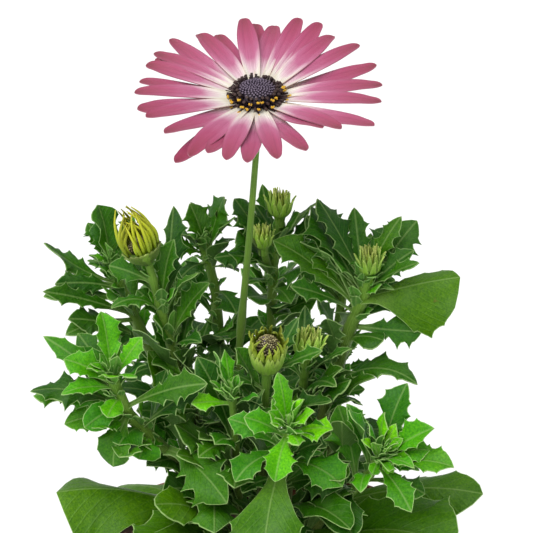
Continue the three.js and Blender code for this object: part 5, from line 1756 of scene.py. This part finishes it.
bract_finish, shader, position = new_finish("bract", 0.55)
_, row, _ = marks_of(shader, "blade")
share_across, _, tint = marks_of(shader, "share")
green = shades(row, (0, 110, 160, 34), (0.6, 150, 200, 56), (0.92, 192, 224, 92), (1, 206, 226, 112))
young_ray = shades(row, (0, 140, 184, 44), (0.5, 200, 228, 80), (1, 232, 240, 128))
green = uneven(position, blend(rises(tint, 1.0, 1.1), green, young_ray))
green = paint(green, rises(abs(share_across), 0.62, 0.92), 0.3, 176, 200, 120)
green = paint(green, rises(abs(share_across), 0.2, 0.04), 0.25, 70, 110, 34)
green = put("HueSaturation", {"Value": fraction(tint) * 0.95 + 0.25, "Color": green})
feed(shader, "Base Color", green)
roughen(shader, hairy(position, 2400.0), 0.6, 0.0004)
shader.inputs["Sheen Weight"].default_value = 0.03
print("stem and bract nodes:", [len(finish.node_tree.nodes) for finish in (stem_finish, bract_finish)])

# %% [markdown]
# ## Rays
# An open ray is almost white at its foot and turns to a dusty magenta half way out, with darker nerves
# along it. Its margin is cream at the foot and wine red further out. Its underside is dull: a broad
# brownish olive stripe between pink margins. A furled ray shows only that underside, which is yellow-green
# while it is young.

# %% Finish the rays
ray_finish, shader, position = new_finish("ray floret", 0.42)
across, row, tint = marks_of(shader, "share")
_, _, upper = marks_of(shader, "blade")
drift = clouds(position, 160.0, 3.0)
edge = rises(abs(across), 0.25, 1.0)
reach = row + (drift - 0.5) * 0.16 + (tint - 0.5) * 0.1 - edge * 0.14
pink = shades(
    reach, (0, 232, 226, 204), (0.12, 244, 238, 226), (0.24, 230, 194, 206), (0.38, 200, 112, 150),
    (0.62, 182, 76, 116), (0.88, 164, 60, 88), (1, 136, 50, 62),
)
lines = lined(across, row, 20.0)
pink = blend(lines * (rises(row, 0.0, 0.4) * 0.55), pink, screen(150, 54, 96))
rim = rises(abs(across), 0.86, 1.0)
edging = shades(row, (0.1, 240, 228, 198), (0.4, 206, 130, 150), (0.7, 140, 58, 76))
pink = blend(rim * 0.5, pink, edging)
olive = shades(row, (0, 168, 160, 110), (0.5, 150, 122, 96), (1, 150, 98, 96))
stripe = rises(abs(across), 0.95, 0.5)
dull = paint(blend(stripe, screen(206, 150, 170), olive), lines, 0.4, 110, 82, 66)
feed(shader, "Base Color", blend(upper, dull, pink))
roughen(shader, lines + drift * 0.4, 0.35, 0.0004)
shader.inputs["Sheen Weight"].default_value = 0.1

furled_finish, shader, position = new_finish("furled ray", 0.5)
across, row, tint = marks_of(shader, "share")
_, _, upper = marks_of(shader, "blade")
yellow = shades(row, (0, 112, 146, 20), (0.4, 176, 192, 14), (1, 212, 212, 44))
yellow = paint(yellow, rises(tint, 1.0, 1.04), 0.6, 140, 176, 70)
yellow = put("HueSaturation", {"Value": fraction(tint) * 0.35 + 0.8, "Color": yellow})
yellow = paint(yellow, lined(across, row, 7.0), 0.4, 104, 116, 12)
yellow = paint(yellow, upper, 0.45, 128, 130, 30)
feed(shader, "Base Color", yellow)
roughen(shader, hairy(position, 2400.0), 0.4, 0.0003)
print("ray nodes:", [len(finish.node_tree.nodes) for finish in (ray_finish, furled_finish)])

# %% [markdown]
# ## The disc
# The closed florets of the dome are slate purple, each with a lighter rounded tip. The open ones round it
# are nearly black and carry yellow pollen on their tips. The heart of an opening bud is dark olive, dusted
# with cream.

# %% Finish the disc florets
disc_finish, shader, position = new_finish("disc floret", 0.6)
kind, row, openness = marks_of(shader, "blade")
_, _, tint = marks_of(shader, "share")
purple = shades(row, (0, 30, 22, 34), (0.7, 62, 52, 76), (1, 112, 98, 116))
dark = shades(row, (0, 60, 40, 34), (0.5, 44, 26, 32), (1, 66, 46, 40))
olive = shades(row, (0, 34, 28, 18), (0.6, 62, 54, 34), (1, 104, 96, 58))
colour = blend(rises(tint, 1.0, 1.1), blend(openness, purple, dark), olive)
colour = uneven(position, colour, patches=500.0)
dust = clouds(position, 900.0, 1.0)
pollen = blend(dust, screen(240, 200, 50), screen(200, 140, 24))
feed(shader, "Base Color", blend(kind, colour, blend(openness, screen(196, 186, 132), pollen)))
roughen(shader, dust, 0.5, 0.0003)
print("disc nodes:", len(disc_finish.node_tree.nodes))

# %% [markdown]
# ## Pot, compost and floor
# The pot is satin plastic with faint moulding rings, scuffs and a film of dried compost near its rim.
# Compost is matt and dark, with fibres, and its crumbs run from black to bark brown, a few of them pale.
# The floor is a plain pale sheet.

# %% Finish pot, compost and floor
pot_finish, shader, position = new_finish("pot plastic", 0.5)
clay = uneven(position, screen(150, 84, 62), 0.12, 30.0)
scuff = clouds(position, 220.0, 8.0, Roughness=0.7)
scuffed = rises(scuff, 0.6, 0.72)
clay = paint(clay, scuffed, 0.3, 186, 132, 108)
film = rises(clouds(position, 46.0, 6.0), 0.42, 0.72) * rises(parts(position)[2], 0.04, 0.09)
feed(shader, "Base Color", paint(clay, film, 0.55, 112, 80, 62))
feed(shader, "Roughness", scuffed * 0.2 + 0.42)
rings = put("TexWave", {"Vector": position, "Scale": 160.0, "Distortion": 0.3}, bands_direction="Z")
roughen(shader, rings * 0.25 + scuff, 0.12, 0.0005)


def earth(name, dark, light, grain):
    """A finish of loose soil, with a few pale fibres."""
    finish, shader, position = new_finish(name, 0.95)
    _, _, tint = marks_of(shader, "share")
    speck = clouds(position, grain, 8.0, Roughness=0.7)
    mixed = blend(speck * 0.7 + tint * 0.3, dark, light)
    fibre = put("TexVoronoi", {"Vector": position, "Scale": grain * 1.6}, out=1)
    pale = rises(parts(fibre)[0], 0.93, 0.96)
    feed(shader, "Base Color", paint(mixed, pale, 0.5, 150, 126, 96))
    roughen(shader, speck, 0.9, 0.001)
    return finish


compost_finish = earth("compost", screen(26, 18, 13), screen(92, 68, 50), 420.0)
crumb_finish = earth("compost crumb", screen(30, 20, 14), screen(124, 92, 66), 700.0)

floor_finish, shader, position = new_finish("pale floor", 0.9)
feed(shader, "Base Color", uneven(position, screen(252, 252, 252), 0.004, 3.0))
print("finishes:", len(bpy.data.materials))

# %% [markdown]
# ## Floor and light
# The plant stands on a plain pale floor in soft studio light: one wide, soft key from high on the left, and
# an even pale world that fills the shadows between the leaves.

# %% Lay the floor and set the light
FLOOR_REACH = 6
WORLD_LIGHT = 0.55
SUN_STRENGTH = 2.4
SUN_SPREAD = math.radians(60)
TOWARDS_SUN = (-0.45, -0.55, 1)

bm = bmesh.new()
bmesh.ops.create_grid(bm, x_segments=1, y_segments=1, size=FLOOR_REACH)
ground_sheet = show("floor", mesh_of(bm, "floor"))
ground_sheet.data.materials.append(floor_finish)
ground_sheet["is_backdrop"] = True

world = bpy.data.worlds.new("studio")
bpy.context.scene.world = world
world.use_nodes = True
background = world.node_tree.nodes["Background"].inputs
background["Color"].default_value = (1, 1, 1, 1)
background["Strength"].default_value = WORLD_LIGHT
sun_data = bpy.data.lights.new("studio_sun", "SUN")
sun_data.energy = SUN_STRENGTH
sun_data.angle = SUN_SPREAD
sun = show("studio_sun", sun_data)
sun.rotation_euler = Vector(TOWARDS_SUN).to_track_quat("Z", "Y").to_euler()
bpy.context.scene.view_settings.view_transform = "Standard"
print("world", WORLD_LIGHT, "sun", SUN_STRENGTH)

# %% [markdown]
# ## Tying the pieces to the solids
# Every new piece rides on the plant's one body and takes its own finish, and the solids that it stands for
# are hidden.

# %% Tie the pieces
def tie(piece, slot, finish, *nodes):
    piece.data.materials.clear()
    piece.data.materials.append(finish)
    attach(piece, "root")
    if nodes:
        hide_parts(*nodes)


for name in STEMS:
    slot = "young_foliage" if name in BRIGHT else "foliage"
    tie(leaf_pieces[name], slot, leaf_finish, name)
    tie(stem_pieces[name], slot, stem_finish, name)
    if name in bud_pieces:
        tie(bud_pieces[name], slot, bract_finish, name)
for node, piece in ray_pieces.items():
    bloom = node == "bloom_rays"
    tie(piece, "ray_florets" if bloom else "bud_rays", ray_finish if bloom else furled_finish, node)
for node, piece in disc_pieces.items():
    tie(piece, "disc_florets", disc_finish, node)
tie(pot, "pot", pot_finish, "pot")
tie(compost, "compost", compost_finish, "compost")
tie(crumb_piece, "compost", crumb_finish, "compost")
print("pieces tied")

# %% [markdown]
# ## Measuring
# The dressed plant must keep the solids' size, so both boxes are measured and written down.

# %% Write the two boxes
low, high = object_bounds()
grew = [round((a - b) / MM, 1) for a, b in zip(high - low, CAD_HIGH - CAD_LOW)]
print("grown beyond the solids, in mm:", grew)
